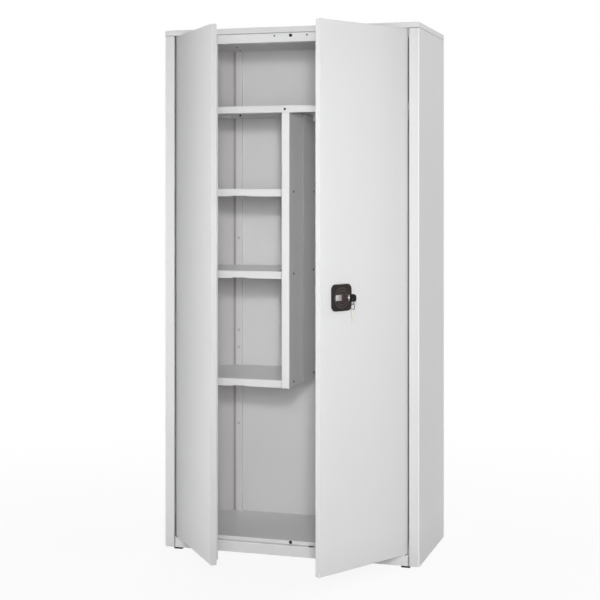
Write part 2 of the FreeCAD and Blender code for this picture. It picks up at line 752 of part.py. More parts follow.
def top_shelf():
    """Full-width shelf under the top compartment."""
    tray = shelf_tray(lambda inset, front: shelf_end(1, inset, front), TOP_SHELF_UNDER, TOP_SHELF_TOP)
    height = rear_screw_height()
    hole = SCREW_RADIUS + SCREW_HOLE_GAP
    cutters = []
    for x, face in ((SHELF_SCREW_X, SHELF_FRONT), (REAR_SCREW_X, STRIP_FACE), (-REAR_SCREW_X, STRIP_FACE)):
        cutters.append(cylinder(hole, Vector(x, face - OVERRUN, height), Vector(x, face + OVERRUN, height)))
    return tray.cut(cutters)


def small_shelf(top):
    """Shelf between the left side and the divider."""
    low = top - SHELF_THICKNESS
    tray = shelf_tray(divider_end, low, top)
    half = LIP_NOTCH_WIDTH / 2
    notch = box(LIP_NOTCH_CENTRE - half, LIP_NOTCH_CENTRE + half, SHELF_FRONT - OVERRUN,
                SHELF_FRONT + SHELF_LIP + OVERRUN, low - OVERRUN, low + LIP_NOTCH_HEIGHT)
    dot = Vector(DIVIDER_LEFT - SLIP - RELIEF_INSET, SHELF_FRONT - OVERRUN, low + SHELF_THICKNESS / 2)
    relief = cylinder(RELIEF_RADIUS, dot, dot + Vector(0, OVERRUN + OVERRUN, 0))
    return tray.cut([notch, relief] + divider_screw_cutters())


def divider_screw_points():
    """Points on the divider's right face where the small shelves are screwed to it."""
    points = []
    for top in SHELF_TOPS:
        for y in (FRONT + DIVIDER_SCREW_SETBACK, BACK_FACE - DIVIDER_SCREW_INSET):
            points.append(Vector(DIVIDER_FACE, y, top - DIVIDER_SCREW_DROP))
    return points


def divider_screw_cutters():
    """Clearance holes for the screws through the divider."""
    reach = Vector(SCREW_LENGTH, 0, 0)
    radius = SCREW_RADIUS + SCREW_HOLE_GAP
    return [cylinder(radius, point - reach, point + reach) for point in divider_screw_points()]


def divider():
    """Partition under the top shelf, with a front strip, a pressed rib and a rear flange."""
    rib_start = FRONT + DIVIDER_RIB_START
    rib_end = rib_start + DIVIDER_RIB_WIDTH
    rib_face = DIVIDER_FACE + DIVIDER_RIB_RISE
    points = [
        (DIVIDER_LEFT, SHELF_FRONT + DIVIDER_RETURN),
        (DIVIDER_LEFT, SHELF_FRONT),
        (DIVIDER_FACE, SHELF_FRONT),
        (DIVIDER_FACE, rib_start),
        (rib_face, rib_start + DIVIDER_RIB_RISE),
        (rib_face, rib_end - DIVIDER_RIB_RISE),
        (DIVIDER_FACE, rib_end),
        (DIVIDER_FACE, BACK_FACE),
        (DIVIDER_FACE - DIVIDER_REAR_FLANGE, BACK_FACE),
    ]
    web = folded(points, 1, DIVIDER_BOTTOM, TOP_SHELF_UNDER)
    foot_flange = box(DIVIDER_LEFT + SHEET / 2, DIVIDER_FACE - SHEET / 2, SHELF_FRONT + SHEET / 2,
                      STRIP_FACE, DIVIDER_BOTTOM, DIVIDER_BOTTOM + SHEET)
    return web.fuse(foot_flange).removeSplitter().cut(divider_screw_cutters())


def angle_runs():
    """Side and shelf underside of each shelf angle on the side walls."""
    runs = [(-1, TOP_SHELF_UNDER), (1, TOP_SHELF_UNDER)]
    return runs + [(-1, top - SHELF_THICKNESS) for top in SHELF_TOPS]


def shelf_angles():
    """Angles on the side walls that carry the shelf ends."""
    angles = []
    for side, seat in angle_runs():
        wall = box(WALL_INSIDE - SHEET, WALL_INSIDE, ANGLE_START, ANGLE_END, seat - ANGLE_LEG, seat)
        tread = box(WALL_INSIDE - ANGLE_LEG, WALL_INSIDE, ANGLE_START, ANGLE_END, seat - SHEET, seat)
        angle = wall.fuse(tread).removeSplitter()
        angles.append(angle if side > 0 else mirrored(angle))
    return Part.makeCompound(angles)


def body_rivets():
    """Rivets in the face of the lintel, and rivet heads on the shelf angles."""
    lintel = rivet(Vector(LINTEL_RIVET_X, LINTEL_FACE, CAP_BOTTOM - LINTEL_MARK_DROP), Vector(0, 1, 0))
    rivets = [lintel, mirrored(lintel)]
    for side, seat in angle_runs():
        for y in (ANGLE_START + ANGLE_RIVET_INSET, ANGLE_END - ANGLE_RIVET_INSET):
            x = WALL_INSIDE - SHEET
            middle = seat - ANGLE_LEG / 2
            head = cylinder(RIVET_RADIUS, Vector(x - RIVET_HEIGHT, y, middle), Vector(x, y, middle))
            rivets.append(head if side > 0 else mirrored(head))
    return Part.makeCompound(rivets)


def body_screws():
    """Black screws of the ceiling, the divider, and the front and rear of the top shelf."""
    height = rear_screw_height()
    rear = screw(Vector(REAR_SCREW_X, STRIP_FACE - SHEET, height), Vector(0, 1, 0), STRIP_RISE)
    screws = [screw(Vector(SHELF_SCREW_X, SHELF_FRONT, height), Vector(0, 1, 0)), rear, mirrored(rear)]
    screws = screws + [screw(point, Vector(-1, 0, 0)) for point in divider_screw_points()]
    screws = screws + [screw(point, Vector(0, 0, 1)) for point in ceiling_bolt_points()]
    return Part.makeCompound(screws)


def door_buffers():
    """Two rubber buffers in the middle that both doors close against."""
    buffers = []
    for height in (CAP_BOTTOM - LINTEL_MARK_DROP, FLOOR_TOP - LOWER_BUFFER_DROP):
        face = Vector(0, LINTEL_FACE, height)
        back = face + Vector(0, SHEET, 0)
        button = cylinder(BUFFER_RADIUS, face - Vector(0, BUFFER_HEIGHT, 0), face)
        stem = cylinder(BUFFER_STEM, face, back)
        plug = cylinder(BUFFER_BUTTON, back, back + Vector(0, BUFFER_HEIGHT, 0))
        buffers.append(button.fuse([stem, plug]).removeSplitter())
    return Part.makeCompound(buffers)


def hook_rail():
    """Angle rail under the top shelf of the broom bay."""
    seat = TOP_SHELF_TOP - SHEET
    points = [(RAIL_FACE + RAIL_FLANGE, seat), (RAIL_FACE, seat), (RAIL_FACE, seat - RAIL_DROP)]
    return folded_rail(points, 1, RAIL_START, RAIL_END)


def tool_hooks():
    """Wire hooks welded to the front of the rail."""
    base = TOP_SHELF_TOP - SHEET - RAIL_DROP + HOOK_HEIGHT_ABOVE_RAIL_EDGE
    points = [(0, 0), (-HOOK_REACH, 0), (-HOOK_REACH, HOOK_RISE)]
    wire = bent_wire(points, HOOK_WIRE, HOOK_BEND)
    turned = wire.transformGeometry(FreeCAD.Matrix(0, 0, 1, 0, 1, 0, 0, 0, 0, 1, 0, 0, 0, 0, 0, 1))
    pitch = (RAIL_END - RAIL_START) / HOOK_COUNT
    hooks = []
    for index in range(HOOK_COUNT):
        hook = turned.copy()
        hook.translate(Vector(RAIL_START + pitch * (index + 0.5), RAIL_FACE, base))
        hooks.append(hook)
    return Part.makeCompound(hooks)


def hinge_bushes():
    """Four plain bushes in the ledges above and below the doors."""
    top_low = CAP_BOTTOM - SHEET - BUSH_LIP
    base_high = LEDGE_TOP + BUSH_LIP
    bushes = []
    for low, high in ((top_low, top_low + BUSH_LENGTH), (base_high - BUSH_LENGTH, base_high)):
        start = Vector(PIN_X, PIN_Y, low)
        end = Vector(PIN_X, PIN_Y, high)
        bush = cylinder(BUSH_RADIUS, start, end).cut(cylinder(PIN_RADIUS + RUNNING_GAP, start, end))
        bushes = bushes + [bush, mirrored(bush)]
    return Part.makeCompound(bushes)


def rod_keepers():
    """Plastic frames around the two rod slots in the ledges."""
    keepers = []
    top_flange = CAP_BOTTOM - SHEET - KEEPER_FLANGE
    for side, low, high, flange in ((1, top_flange, CAP_BOTTOM, top_flange),
                                    (-1, LEDGE_TOP - SHEET, LEDGE_TOP + KEEPER_FLANGE, LEDGE_TOP)):
        body = box(*rod_plan(side, ROD_CLEARANCE + KEEPER_WALL), low, high)
        rim = box(*rod_plan(side, ROD_CLEARANCE + KEEPER_WALL + KEEPER_FLANGE), flange, flange + KEEPER_FLANGE)
        slot = box(*rod_plan(side, ROD_CLEARANCE), low - OVERRUN, high + OVERRUN)
        keepers.append(body.fuse(rim).removeSplitter().cut(slot))
    return Part.makeCompound(keepers)


def door_skin():
    """Right door pan, open to the rear inside its lips, shut."""
    outer = box(HALF_MIDDLE_GAP, DOOR_EDGE, FRONT, DOOR_REAR, DOOR_BOTTOM, DOOR_TOP)
    outer = outer.makeFillet(DOOR_BEND + SHEET, edges_in_plane(outer, 1, FRONT))
    hollow = box(HALF_MIDDLE_GAP + SHEET, DOOR_EDGE - SHEET, FRONT + SHEET, DOOR_REAR - SHEET,
                 DOOR_BOTTOM + SHEET, DOOR_TOP - SHEET)
    hollow = hollow.makeFillet(DOOR_BEND, edges_in_plane(hollow, 1, FRONT + SHEET))
    mouth = box(HALF_MIDDLE_GAP + DOOR_LIP, DOOR_EDGE - DOOR_LIP, DOOR_REAR - SHEET - OVERRUN,
                DOOR_REAR + OVERRUN, DOOR_BOTTOM + DOOR_LIP, DOOR_TOP - DOOR_LIP)
    pin_hole = cylinder(PIN_RADIUS + RUNNING_GAP, Vector(PIN_X, PIN_Y, 0), Vector(PIN_X, PIN_Y, HEIGHT))
    return outer.cut([hollow, mouth, pin_hole])


def right_door_skin():
    """Right door pan with the holes for the lock and its rods."""
    spindle = Vector(LOCK_X, FRONT - OVERRUN, LOCK_HEIGHT)
    reach = Vector(0, OVERRUN + OVERRUN, 0)
    cutters = [cylinder(SPINDLE_RADIUS + ROD_CLEARANCE, spindle, spindle + reach)]
    for side in (-1, 1):
        start = spindle + Vector(0, 0, side * LOCK_SCREW_OFFSET)
        cutters.append(cylinder(SCREW_RADIUS + SCREW_HOLE_GAP, start, start + reach))
    cutters.append(box(*rod_plan(1, ROD_CLEARANCE), DOOR_TOP - OVERRUN, DOOR_TOP + OVERRUN))
    cutters.append(box(*rod_plan(-1, ROD_CLEARANCE), DOOR_BOTTOM - OVERRUN, DOOR_BOTTOM + OVERRUN))
    return door_skin().cut(cutters)


def door_rib():
    """Upright hat-section stiffener on the inner side of the right door."""
    middle = (HALF_MIDDLE_GAP + DOOR_EDGE) / 2
    seat = FRONT + SHEET + SHEET
    crest = DOOR_REAR - SHEET
    reach = DOOR_RIB_HALF + DOOR_RIB_FLANGE
    points = [
        (middle - reach, seat),
        (middle - DOOR_RIB_HALF, seat),
        (middle - DOOR_RIB_HALF, crest),
        (middle + DOOR_RIB_HALF, crest),
        (middle + DOOR_RIB_HALF, seat),
        (middle + reach, seat),
    ]
    return folded(points, -1, DOOR_BOTTOM + DOOR_RIB_MARGIN, DOOR_TOP - DOOR_RIB_MARGIN)


def hinge_blocks():
    """Two blocks in the hinge corners of the right door that hold its pins."""
    blocks = []
    for low in (DOOR_BOTTOM + SHEET, DOOR_TOP - SHEET - BLOCK_HEIGHT):
        block = box(DOOR_EDGE - SHEET - BLOCK_WIDTH, DOOR_EDGE - SHEET, FRONT + SHEET, FRONT + SHEET + BLOCK_DEPTH,
                    low, low + BLOCK_HEIGHT)
        block = block.makeFillet(DOOR_BEND + FIT_GAP, edges_in_plane(block, 1, FRONT + SHEET))
        bore = cylinder(PIN_RADIUS + RUNNING_GAP, Vector(PIN_X, PIN_Y, low), Vector(PIN_X, PIN_Y, low + BLOCK_HEIGHT))
        blocks.append(block.cut(bore))
    return Part.makeCompound(blocks)


def hinge_pins():
    """Upper and lower hinge pins of the right door, each with a collar."""
    collar_top = CAP_BOTTOM - SHEET - BUSH_LIP - SLIP
    collar_base = LEDGE_TOP + BUSH_LIP + SLIP
    pins = []
    for root, tip, collar_low, collar_high in (
            (DOOR_TOP - BLOCK_HEIGHT, DOOR_TOP + PIN_REACH, DOOR_TOP, collar_top),
            (DOOR_BOTTOM - PIN_REACH, DOOR_BOTTOM + BLOCK_HEIGHT, collar_base, DOOR_BOTTOM)):
        pin = cylinder(PIN_RADIUS, Vector(PIN_X, PIN_Y, root), Vector(PIN_X, PIN_Y, tip))
        collar = cylinder(PIN_COLLAR_RADIUS, Vector(PIN_X, PIN_Y, collar_low), Vector(PIN_X, PIN_Y, collar_high))
        pins.append(pin.fuse(collar).removeSplitter())
    return Part.makeCompound(pins)


def closing_strip_bounds():
    """Lowest and highest edge of the closing strip."""
    return (FLOOR_TOP + CLOSING_STRIP_MARGIN, LINTEL_BOTTOM - CLOSING_STRIP_MARGIN)


def closing_strip():
    """Strip on the rear of the left door that reaches behind the right door."""
    low, high = closing_strip_bounds()
    edge = -HALF_MIDDLE_GAP
    step = DOOR_REAR + CLOSING_STRIP_JOGGLE
    joggle = SHEET + SHEET
    points = [
        (edge - CLOSING_STRIP_SEAT, DOOR_REAR),
        (edge - joggle, DOOR_REAR),
        (edge, step),
        (edge + DOOR_MIDDLE_GAP / 2 + CLOSING_STRIP_OVERLAP, step),
    ]
    return folded(points, 1, low, high).cut(strip_rivet_cutters())


def strip_rivet_points():
    """Evenly spaced points on the closing strip's rear face."""
    low, high = closing_strip_bounds()
    pitch = (high - low) / STRIP_RIVET_COUNT
    x = -HALF_MIDDLE_GAP - STRIP_RIVET_INSET
    return [Vector(x, DOOR_REAR + SHEET, low + pitch * (index + 0.5)) for index in range(STRIP_RIVET_COUNT)]


def strip_rivet_cutters():
    """Holes for the closing strip's rivets through the strip and the door's lip."""
    reach = Vector(0, SHEET + SHEET + SHEET, 0)
    return [cylinder(RIVET_SHANK + FIT_GAP, point - reach, point + reach) for point in strip_rivet_points()]


def strip_rivets():
    """Rivets that hold the closing strip on the left door."""
    return Part.makeCompound([rivet(point, Vector(0, -1, 0)) for point in strip_rivet_points()])


def lock_plate():
    """Rounded plate of the rotary lock, with a round well for the knob."""
    half_width = PLATE_WIDTH / 2
    half_height = PLATE_HEIGHT / 2
    face = FRONT - PLATE_THICKNESS
    plate = box(LOCK_X - half_width, LOCK_X + half_width, face, FRONT, LOCK_HEIGHT - half_height,
                LOCK_HEIGHT + half_height)
    plate = plate.makeFillet(PLATE_CORNER, edges_along(plate, 1))
    plate = plate.makeFillet(PLATE_EDGE, edges_in_plane(plate, 1, face))
    centre = Vector(LOCK_X, FRONT, LOCK_HEIGHT)
    well = cylinder(KNOB_RADIUS + KNOB_GAP, centre - Vector(0, PLATE_THICKNESS + OVERRUN, 0),
                    centre - Vector(0, PLATE_THICKNESS - WELL_DEPTH, 0))
    bore = cylinder(SPINDLE_RADIUS + RUNNING_GAP, centre - Vector(0, PLATE_THICKNESS, 0), centre)
    cutters = [well, bore]
    for side in (-1, 1):
        start = centre + Vector(0, 0, side * LOCK_SCREW_OFFSET)
        cutters.append(cylinder(SCREW_RADIUS + FIT_GAP, start, start - Vector(0, LOCK_SCREW_BITE, 0)))
    return plate.cut(cutters)


KNOB_BACK = FRONT - PLATE_THICKNESS + WELL_DEPTH - SLIP
KNOB_FACE = KNOB_BACK - KNOB_THICKNESS
GRIP_FACE = KNOB_BACK - GRIP_RISE
CYLINDER_X = LOCK_X + CYLINDER_OFFSET
CYLINDER_FACE = GRIP_FACE - CYLINDER_PROUD
CYLINDER_BACK = CYLINDER_FACE + CYLINDER_LENGTH


def turn_knob():
    """Round knob with concentric grooves and a flat grip bar across it."""
    centre = Vector(LOCK_X, KNOB_BACK, LOCK_HEIGHT)
    face = Vector(LOCK_X, KNOB_FACE, LOCK_HEIGHT)
    disc = cylinder(KNOB_RADIUS, centre, face)
    groove_floor = face + Vector(0, KNOB_GROOVE_DEPTH, 0)
    for radius in KNOB_GROOVE_RADII:
        ring = cylinder(radius, face - Vector(0, OVERRUN, 0), groove_floor)
        core = cylinder(radius - KNOB_GROOVE_WIDTH, face - Vector(0, OVERRUN, 0), groove_floor)
        disc = disc.cut(ring.cut(core))
    grip = box(LOCK_X - GRIP_HALF_LENGTH, LOCK_X + GRIP_HALF_LENGTH, GRIP_FACE, KNOB_BACK,
               LOCK_HEIGHT - GRIP_HALF_HEIGHT, LOCK_HEIGHT + GRIP_HALF_HEIGHT)
    grip = grip.makeFillet(GRIP_CORNER, edges_along(grip, 1))
    grip = grip.makeFillet(GRIP_EDGE, edges_in_plane(grip, 1, GRIP_FACE))
    bore = cylinder(CYLINDER_RADIUS + FIT_GAP, Vector(CYLINDER_X, GRIP_FACE - OVERRUN, LOCK_HEIGHT),
                    Vector(CYLINDER_X, CYLINDER_BACK, LOCK_HEIGHT))
    return disc.fuse(grip).removeSplitter().cut(bore)


def blank_label():
    """Bare plate on the grip bar."""
    middle = LOCK_X - LABEL_OFFSET
    plate = box(middle - LABEL_LENGTH / 2, middle + LABEL_LENGTH / 2, GRIP_FACE - LABEL_THICKNESS, GRIP_FACE,
                LOCK_HEIGHT - LABEL_HEIGHT / 2, LOCK_HEIGHT + LABEL_HEIGHT / 2)
    return plate.makeFillet(GRIP_CORNER / 2, edges_along(plate, 1))


def lock_cylinder():
    """Cylinder housing in the grip bar, bored for its plug."""
    front = Vector(CYLINDER_X, CYLINDER_FACE, LOCK_HEIGHT)
    back = Vector(CYLINDER_X, CYLINDER_BACK, LOCK_HEIGHT)
    bore = cylinder(PLUG_RADIUS + RUNNING_GAP, front, front + Vector(0, PLUG_LENGTH + SLIP, 0))
    return cylinder(CYLINDER_RADIUS, front, back).cut(bore)


def key_blade_box(gap):
    """Blade of the key in the plug, with a gap all round."""
    half = BLADE_THICKNESS / 2 + gap
    half_height = BLADE_HEIGHT / 2 + gap
    return box(CYLINDER_X - half, CYLINDER_X + half, CYLINDER_FACE - BLADE_SHOW - BLADE_TANG,
               CYLINDER_FACE + BLADE_DEPTH + gap, LOCK_HEIGHT - half_height, LOCK_HEIGHT + half_height)


def cylinder_plug():
    """Turning plug with its keyway."""
    front = Vector(CYLINDER_X, CYLINDER_FACE, LOCK_HEIGHT)
    plug = cylinder(PLUG_RADIUS, front, front + Vector(0, PLUG_LENGTH, 0))
    return plug.cut(key_blade_box(KEYWAY_GAP))


HEAD_BACK = CYLINDER_FACE - BLADE_SHOW
HEAD_FRONT = HEAD_BACK - KEY_HEAD_LENGTH
KEY_HOLE = Vector(CYLINDER_X, HEAD_FRONT + KEY_HOLE_FROM_END, LOCK_HEIGHT - KEY_HEAD_HEIGHT / 2 + KEY_HOLE_FROM_EDGE)


def key_head():
    """Plastic head of the key, in the upright plane through the cylinder's axis."""
    half = KEY_HEAD_THICKNESS / 2
    half_height = KEY_HEAD_HEIGHT / 2
    head = box(CYLINDER_X - half, CYLINDER_X + half, HEAD_FRONT, HEAD_BACK, LOCK_HEIGHT - half_height,
               LOCK_HEIGHT + half_height)
    head = head.makeFillet(KEY_HEAD_CORNER, edges_along(head, 0))
    rims = edges_in_plane(head, 0, CYLINDER_X - half) + edges_in_plane(head, 0, CYLINDER_X + half)
    head = head.makeFillet(KEY_HEAD_EDGE, rims)
    reach = Vector(KEY_HEAD_THICKNESS, 0, 0)
    hole = cylinder(KEY_HOLE_RADIUS, KEY_HOLE - reach, KEY_HOLE + reach)
    return head.cut([hole, key_blade_box(0)])


LINK_SAG = LINK_RADIUS - math.sqrt(LINK_RADIUS ** 2 - (KEY_HEAD_THICKNESS / 2) ** 2)
LINK_CENTRE = KEY_HOLE - Vector(0, 0, LINK_RADIUS + KEY_HOLE_RADIUS - LINK_WIRE - LINK_SAG - LOOSE_GAP)
RING_CENTRE = LINK_CENTRE - Vector(0, 0, LINK_RADIUS + RING_RADIUS - LINK_WIRE - RING_WIRE - LOOSE_GAP)
SPARE_HOLE = RING_CENTRE - Vector(0, 0, RING_RADIUS + SPARE_HOLE_RADIUS - RING_WIRE - LOOSE_GAP)


def spare_key():
    """Flat spare key that hangs from the ring."""
    half = SPARE_THICKNESS / 2
    bow_centre = SPARE_HOLE - Vector(0, 0, SPARE_HOLE_RISE)
    thickness = Vector(0, half, 0)
    bow = cylinder(SPARE_BOW_RADIUS, bow_centre - thickness, bow_centre + thickness)
    blade_end = bow_centre.z - SPARE_BOW_RADIUS - SPARE_BLADE_LENGTH
    half_width = SPARE_BLADE_WIDTH / 2
    blade = box(CYLINDER_X - half_width, CYLINDER_X + half_width, bow_centre.y - half, bow_centre.y + half,
                blade_end, bow_centre.z)
    key = bow.fuse(blade).removeSplitter()
    cutters = [cylinder(SPARE_HOLE_RADIUS, SPARE_HOLE - thickness * 2, SPARE_HOLE + thickness * 2)]
    for index in range(SPARE_BITES):
        low = blade_end + SPARE_BITE_PITCH * (index + 0.5)
        cutters.append(box(CYLINDER_X + half_width - SPARE_BITE_DEPTH, CYLINDER_X + half_width + OVERRUN,
                           FRONT - DEPTH, FRONT, low, low + SPARE_BITE_WIDTH))
    return key.cut(cutters)


def lock_spindle():
    """Round spindle from the knob to the pinion."""
    start = Vector(LOCK_X, KNOB_BACK, LOCK_HEIGHT)
    end = Vector(LOCK_X, FRONT + SHEET + CASE_DEPTH - CASE_WALL - SPINDLE_END_GAP, LOCK_HEIGHT)
    return cylinder(SPINDLE_RADIUS, start, end)


def involute(angle_offset, radius, base_radius, hand):
    """Point of an involute flank at one radius; hand is 1 or -1."""
    roll = math.sqrt(max(radius * radius / (base_radius * base_radius) - 1, 0))
    angle = angle_offset + hand * (roll - math.atan(roll))
    return Vector(radius * math.cos(angle), 0, radius * math.sin(angle))


def lock_pinion():
    """Spur pinion with involute teeth, meshing with both rod racks."""
    pressure = math.radians(PRESSURE_ANGLE)
    base_radius = PITCH_RADIUS * math.cos(pressure)
    tip_radius = PITCH_RADIUS + ADDENDUM_SHARE * MODULE
    root_radius = PITCH_RADIUS - DEDENDUM_SHARE * MODULE
    half_tooth = (math.pi * MODULE / 2 - BACKLASH) / (2 * PITCH_RADIUS) + math.tan(pressure) - pressure
    points = []
    for tooth in range(PINION_TEETH):
        middle = 2 * math.pi * tooth / PINION_TEETH
        radii = [base_radius + (tip_radius - base_radius) * step / FLANK_STEPS for step in range(FLANK_STEPS + 1)]
        low = middle - half_tooth
        high = middle + half_tooth
        points.append(Vector(root_radius * math.cos(low), 0, root_radius * math.sin(low)))
        points = points + [involute(low, radius, base_radius, 1) for radius in radii]
        points = points + [involute(high, radius, base_radius, -1) for radius in reversed(radii)]
        points.append(Vector(root_radius * math.cos(high), 0, root_radius * math.sin(high)))
    face = Part.Face(Part.makePolygon(points + points[:1]))
    gear = face.extrude(Vector(0, ROD_THICKNESS, 0))
    gear.translate(Vector(LOCK_X, ROD_FRONT, LOCK_HEIGHT))
    centre = Vector(LOCK_X, ROD_FRONT, LOCK_HEIGHT)
    return gear.cut(cylinder(SPINDLE_RADIUS + FIT_GAP, centre, centre + Vector(0, ROD_THICKNESS, 0)))


def rack_tooth(middle):
    """One rack tooth that points towards the pinion, for the rod on the right."""
    slope = math.tan(math.radians(PRESSURE_ANGLE))
    half_pitch = (math.pi * MODULE / 2 - BACKLASH) / 2
    addendum = ADDENDUM_SHARE * MODULE
    tip = PITCH_RADIUS - addendum
    root = RACK_ROOT + SLIP
    half_tip = half_pitch - addendum * slope
    half_root = half_pitch + (root - PITCH_RADIUS) * slope
    corners = [(tip, -half_tip), (root, -half_root), (root, half_root), (tip, half_tip)]
    points = [Vector(LOCK_X + x, ROD_FRONT, middle + z) for x, z in corners]
    return Part.Face(Part.makePolygon(points + points[:1])).extrude(Vector(0, ROD_THICKNESS, 0))


def rack_teeth():
    """Teeth of one rack, a gap between two of them level with the spindle."""
    pitch = math.pi * MODULE
    count = math.floor((RACK_OVERLAP - pitch) / pitch) + 1
    return [rack_tooth(LOCK_HEIGHT + pitch * (index + 0.5)) for index in range(-count, count)]


def tip_corners(bar, height):
    """The two short edges across the thickness at a rod's tip."""
    return [edge for edge in edges_in_plane(bar, 2, height) if edge.BoundBox.XLength < SLIP]


def upper_rod():
    """Flat rod from the pinion to the top of the door, with a rack on its inner edge."""
    bar = box(*rod_plan(1, 0), LOCK_HEIGHT - RACK_OVERLAP, UPPER_ROD_TIP)
    bar = bar.makeChamfer(ROD_CHAMFER, tip_corners(bar, UPPER_ROD_TIP))
    return bar.fuse(rack_teeth()).removeSplitter()


def lower_rod():
    """Flat rod from the pinion to the foot of the door, its rack facing the other one."""
    bar = box(*rod_plan(-1, 0), LOWER_ROD_TIP, LOCK_HEIGHT + RACK_OVERLAP)
    bar = bar.makeChamfer(ROD_CHAMFER, tip_corners(bar, LOWER_ROD_TIP))
    teeth = rack_teeth()
    for tooth in teeth:
        tooth.rotate(Vector(LOCK_X, 0, LOCK_HEIGHT), Vector(0, 1, 0), 180)
    return bar.fuse(teeth).removeSplitter()


def lock_case():
    """Sheet box that houses the pinion, open where the rods pass."""
    front = FRONT + SHEET
    outer = box(LOCK_X - CASE_HALF_WIDTH, LOCK_X + CASE_HALF_WIDTH, front, front + CASE_DEPTH,
                LOCK_HEIGHT - CASE_HALF_HEIGHT, LOCK_HEIGHT + CASE_HALF_HEIGHT)
    half_width = CASE_HALF_WIDTH - CASE_WALL
    half_height = CASE_HALF_HEIGHT - CASE_WALL
    hollow = box(LOCK_X - half_width, LOCK_X + half_width, front + CASE_WALL, front + CASE_DEPTH - CASE_WALL,
                 LOCK_HEIGHT - half_height, LOCK_HEIGHT + half_height)
    upper_slot = box(*rod_plan(1, CASE_SLOT_GAP), LOCK_HEIGHT, LOCK_HEIGHT + CASE_HALF_HEIGHT + OVERRUN)
    lower_slot = box(*rod_plan(-1, CASE_SLOT_GAP), LOCK_HEIGHT - CASE_HALF_HEIGHT - OVERRUN, LOCK_HEIGHT)
    centre = Vector(LOCK_X, FRONT, LOCK_HEIGHT)
    bore = cylinder(SPINDLE_RADIUS + RUNNING_GAP, centre, centre + Vector(0, OVERRUN, 0))
    cutters = [hollow, upper_slot, lower_slot, bore]
    for side in (-1, 1):
        start = centre + Vector(0, 0, side * LOCK_SCREW_OFFSET)
        cutters.append(cylinder(SCREW_RADIUS + SCREW_HOLE_GAP, start, start + Vector(0, DOOR_THICKNESS, 0)))
    return outer.cut(cutters)


def lock_screws():
    """Two screws from the rear of the case into the plate on the outside."""
    seat = FRONT + SHEET + CASE_DEPTH
    length = SHEET + CASE_DEPTH + LOCK_SCREW_BITE
    screws = []
    for side in (-1, 1):
        point = Vector(LOCK_X, seat, LOCK_HEIGHT + side * LOCK_SCREW_OFFSET)
        screws.append(screw(point, Vector(0, -1, 0), length))
    return Part.makeCompound(screws)


def rod_guides():
    """Four plastic guides that hold the rods on the inner side of the door."""
    places = (
        (1, DOOR_TOP - GUIDE_END_MARGIN),
        (1, LOCK_HEIGHT + GUIDE_LOCK_MARGIN),
        (-1, LOCK_HEIGHT - GUIDE_LOCK_MARGIN),
        (-1, DOOR_BOTTOM + GUIDE_END_MARGIN),
    )
    guides = []
    for side, height in places:
        middle = LOCK_X + side * ROD_X
        low = height - GUIDE_HEIGHT / 2
        high = height + GUIDE_HEIGHT / 2
        block = box(middle - GUIDE_HALF_WIDTH, middle + GUIDE_HALF_WIDTH, FRONT + SHEET, FRONT + SHEET + GUIDE_DEPTH,
                    low, high)
        block = block.makeFillet(DOOR_BEND, edges_in_plane(block, 1, FRONT + SHEET + GUIDE_DEPTH))
        guides.append(block.cut(box(*rod_plan(side, CASE_SLOT_GAP), low - OVERRUN, high + OVERRUN)))
    return Part.makeCompound(guides)


def write_body():
    """Pieces of the standing cabinet."""
    keep("left_side_panel", left_side_panel())
    keep("right_side_panel", mirrored(left_side_panel()))
    keep("top_cap", top_cap())
    keep("front_lintel", front_lintel())
    keep("ceiling_panel", ceiling_panel())
    keep("cap_ribs", cap_ribs())
    keep("back_panel", back_panel())
    keep("left_upright", left_upright())
    keep("right_upright", mirrored(left_upright()))
    keep("floor_tray", floor_tray())
    keep("floor_rib", floor_rib())
    keep("plinth", plinth())
    keep("foot_plates", foot_plates())
    keep("foot_screws", foot_screws())
    for name, (x, y) in foot_places().items():
        keep(name, foot(x, y))


def write_fittings():
    """Shelves, divider and the small pieces fixed to the body."""
    keep("top_shelf", top_shelf())
    for name, top in zip(SHELF_NAMES, SHELF_TOPS):
        keep(name, small_shelf(top))
    keep("divider", divider())
    keep("shelf_angles", shelf_angles())
    keep("body_screws", body_screws())
    keep("body_rivets", body_rivets())
    keep("door_buffers", door_buffers())
    keep("hook_rail", hook_rail())
    keep("tool_hooks", tool_hooks())
    keep("hinge_bushes", hinge_bushes())
    keep("rod_keepers", rod_keepers())


def write_left_door():
    """Pieces of the left door in its rest pose."""
    skin = mirrored(door_skin()).cut(strip_rivet_cutters())
    keep("left_door_skin", open_door(skin, -1))
    keep("left_door_rib", open_door(mirrored(door_rib()), -1))
    keep("left_hinge_blocks", open_door(mirrored(hinge_blocks()), -1))
    keep("left_hinge_pins", open_door(mirrored(hinge_pins()), -1))
    keep("closing_strip", open_door(closing_strip(), -1))
    keep("strip_rivets", open_door(strip_rivets(), -1))


def write_right_door():
    """Pieces of the right door and its lock in their rest pose."""
    pieces = {
        "right_door_skin": right_door_skin(),
        "right_door_rib": door_rib(),
        "right_hinge_blocks": hinge_blocks(),
        "right_hinge_pins": hinge_pins(),
        "lock_plate": lock_plate(),
        "lock_case": lock_case(),
        "lock_screws": lock_screws(),
        "rod_guides": rod_guides(),
        "turn_knob": turn_knob(),
        "blank_label": blank_label(),
        "lock_cylinder": lock_cylinder(),
        "lock_spindle": lock_spindle(),
        "lock_pinion": lock_pinion(),
        "upper_rod": upper_rod(),
        "lower_rod": lower_rod(),
        "cylinder_plug": cylinder_plug(),
        "key_blade": key_blade_box(0),
        "key_head": key_head(),
        "key_link": Part.makeTorus(LINK_RADIUS, LINK_WIRE, LINK_CENTRE, Vector(0, 1, 0)),
        "key_ring": Part.makeTorus(RING_RADIUS, RING_WIRE, RING_CENTRE, Vector(1, 0, 0)),
        "spare_key": spare_key(),
    }
    for name, shape in pieces.items():
        keep(name, open_door(shape, 1))


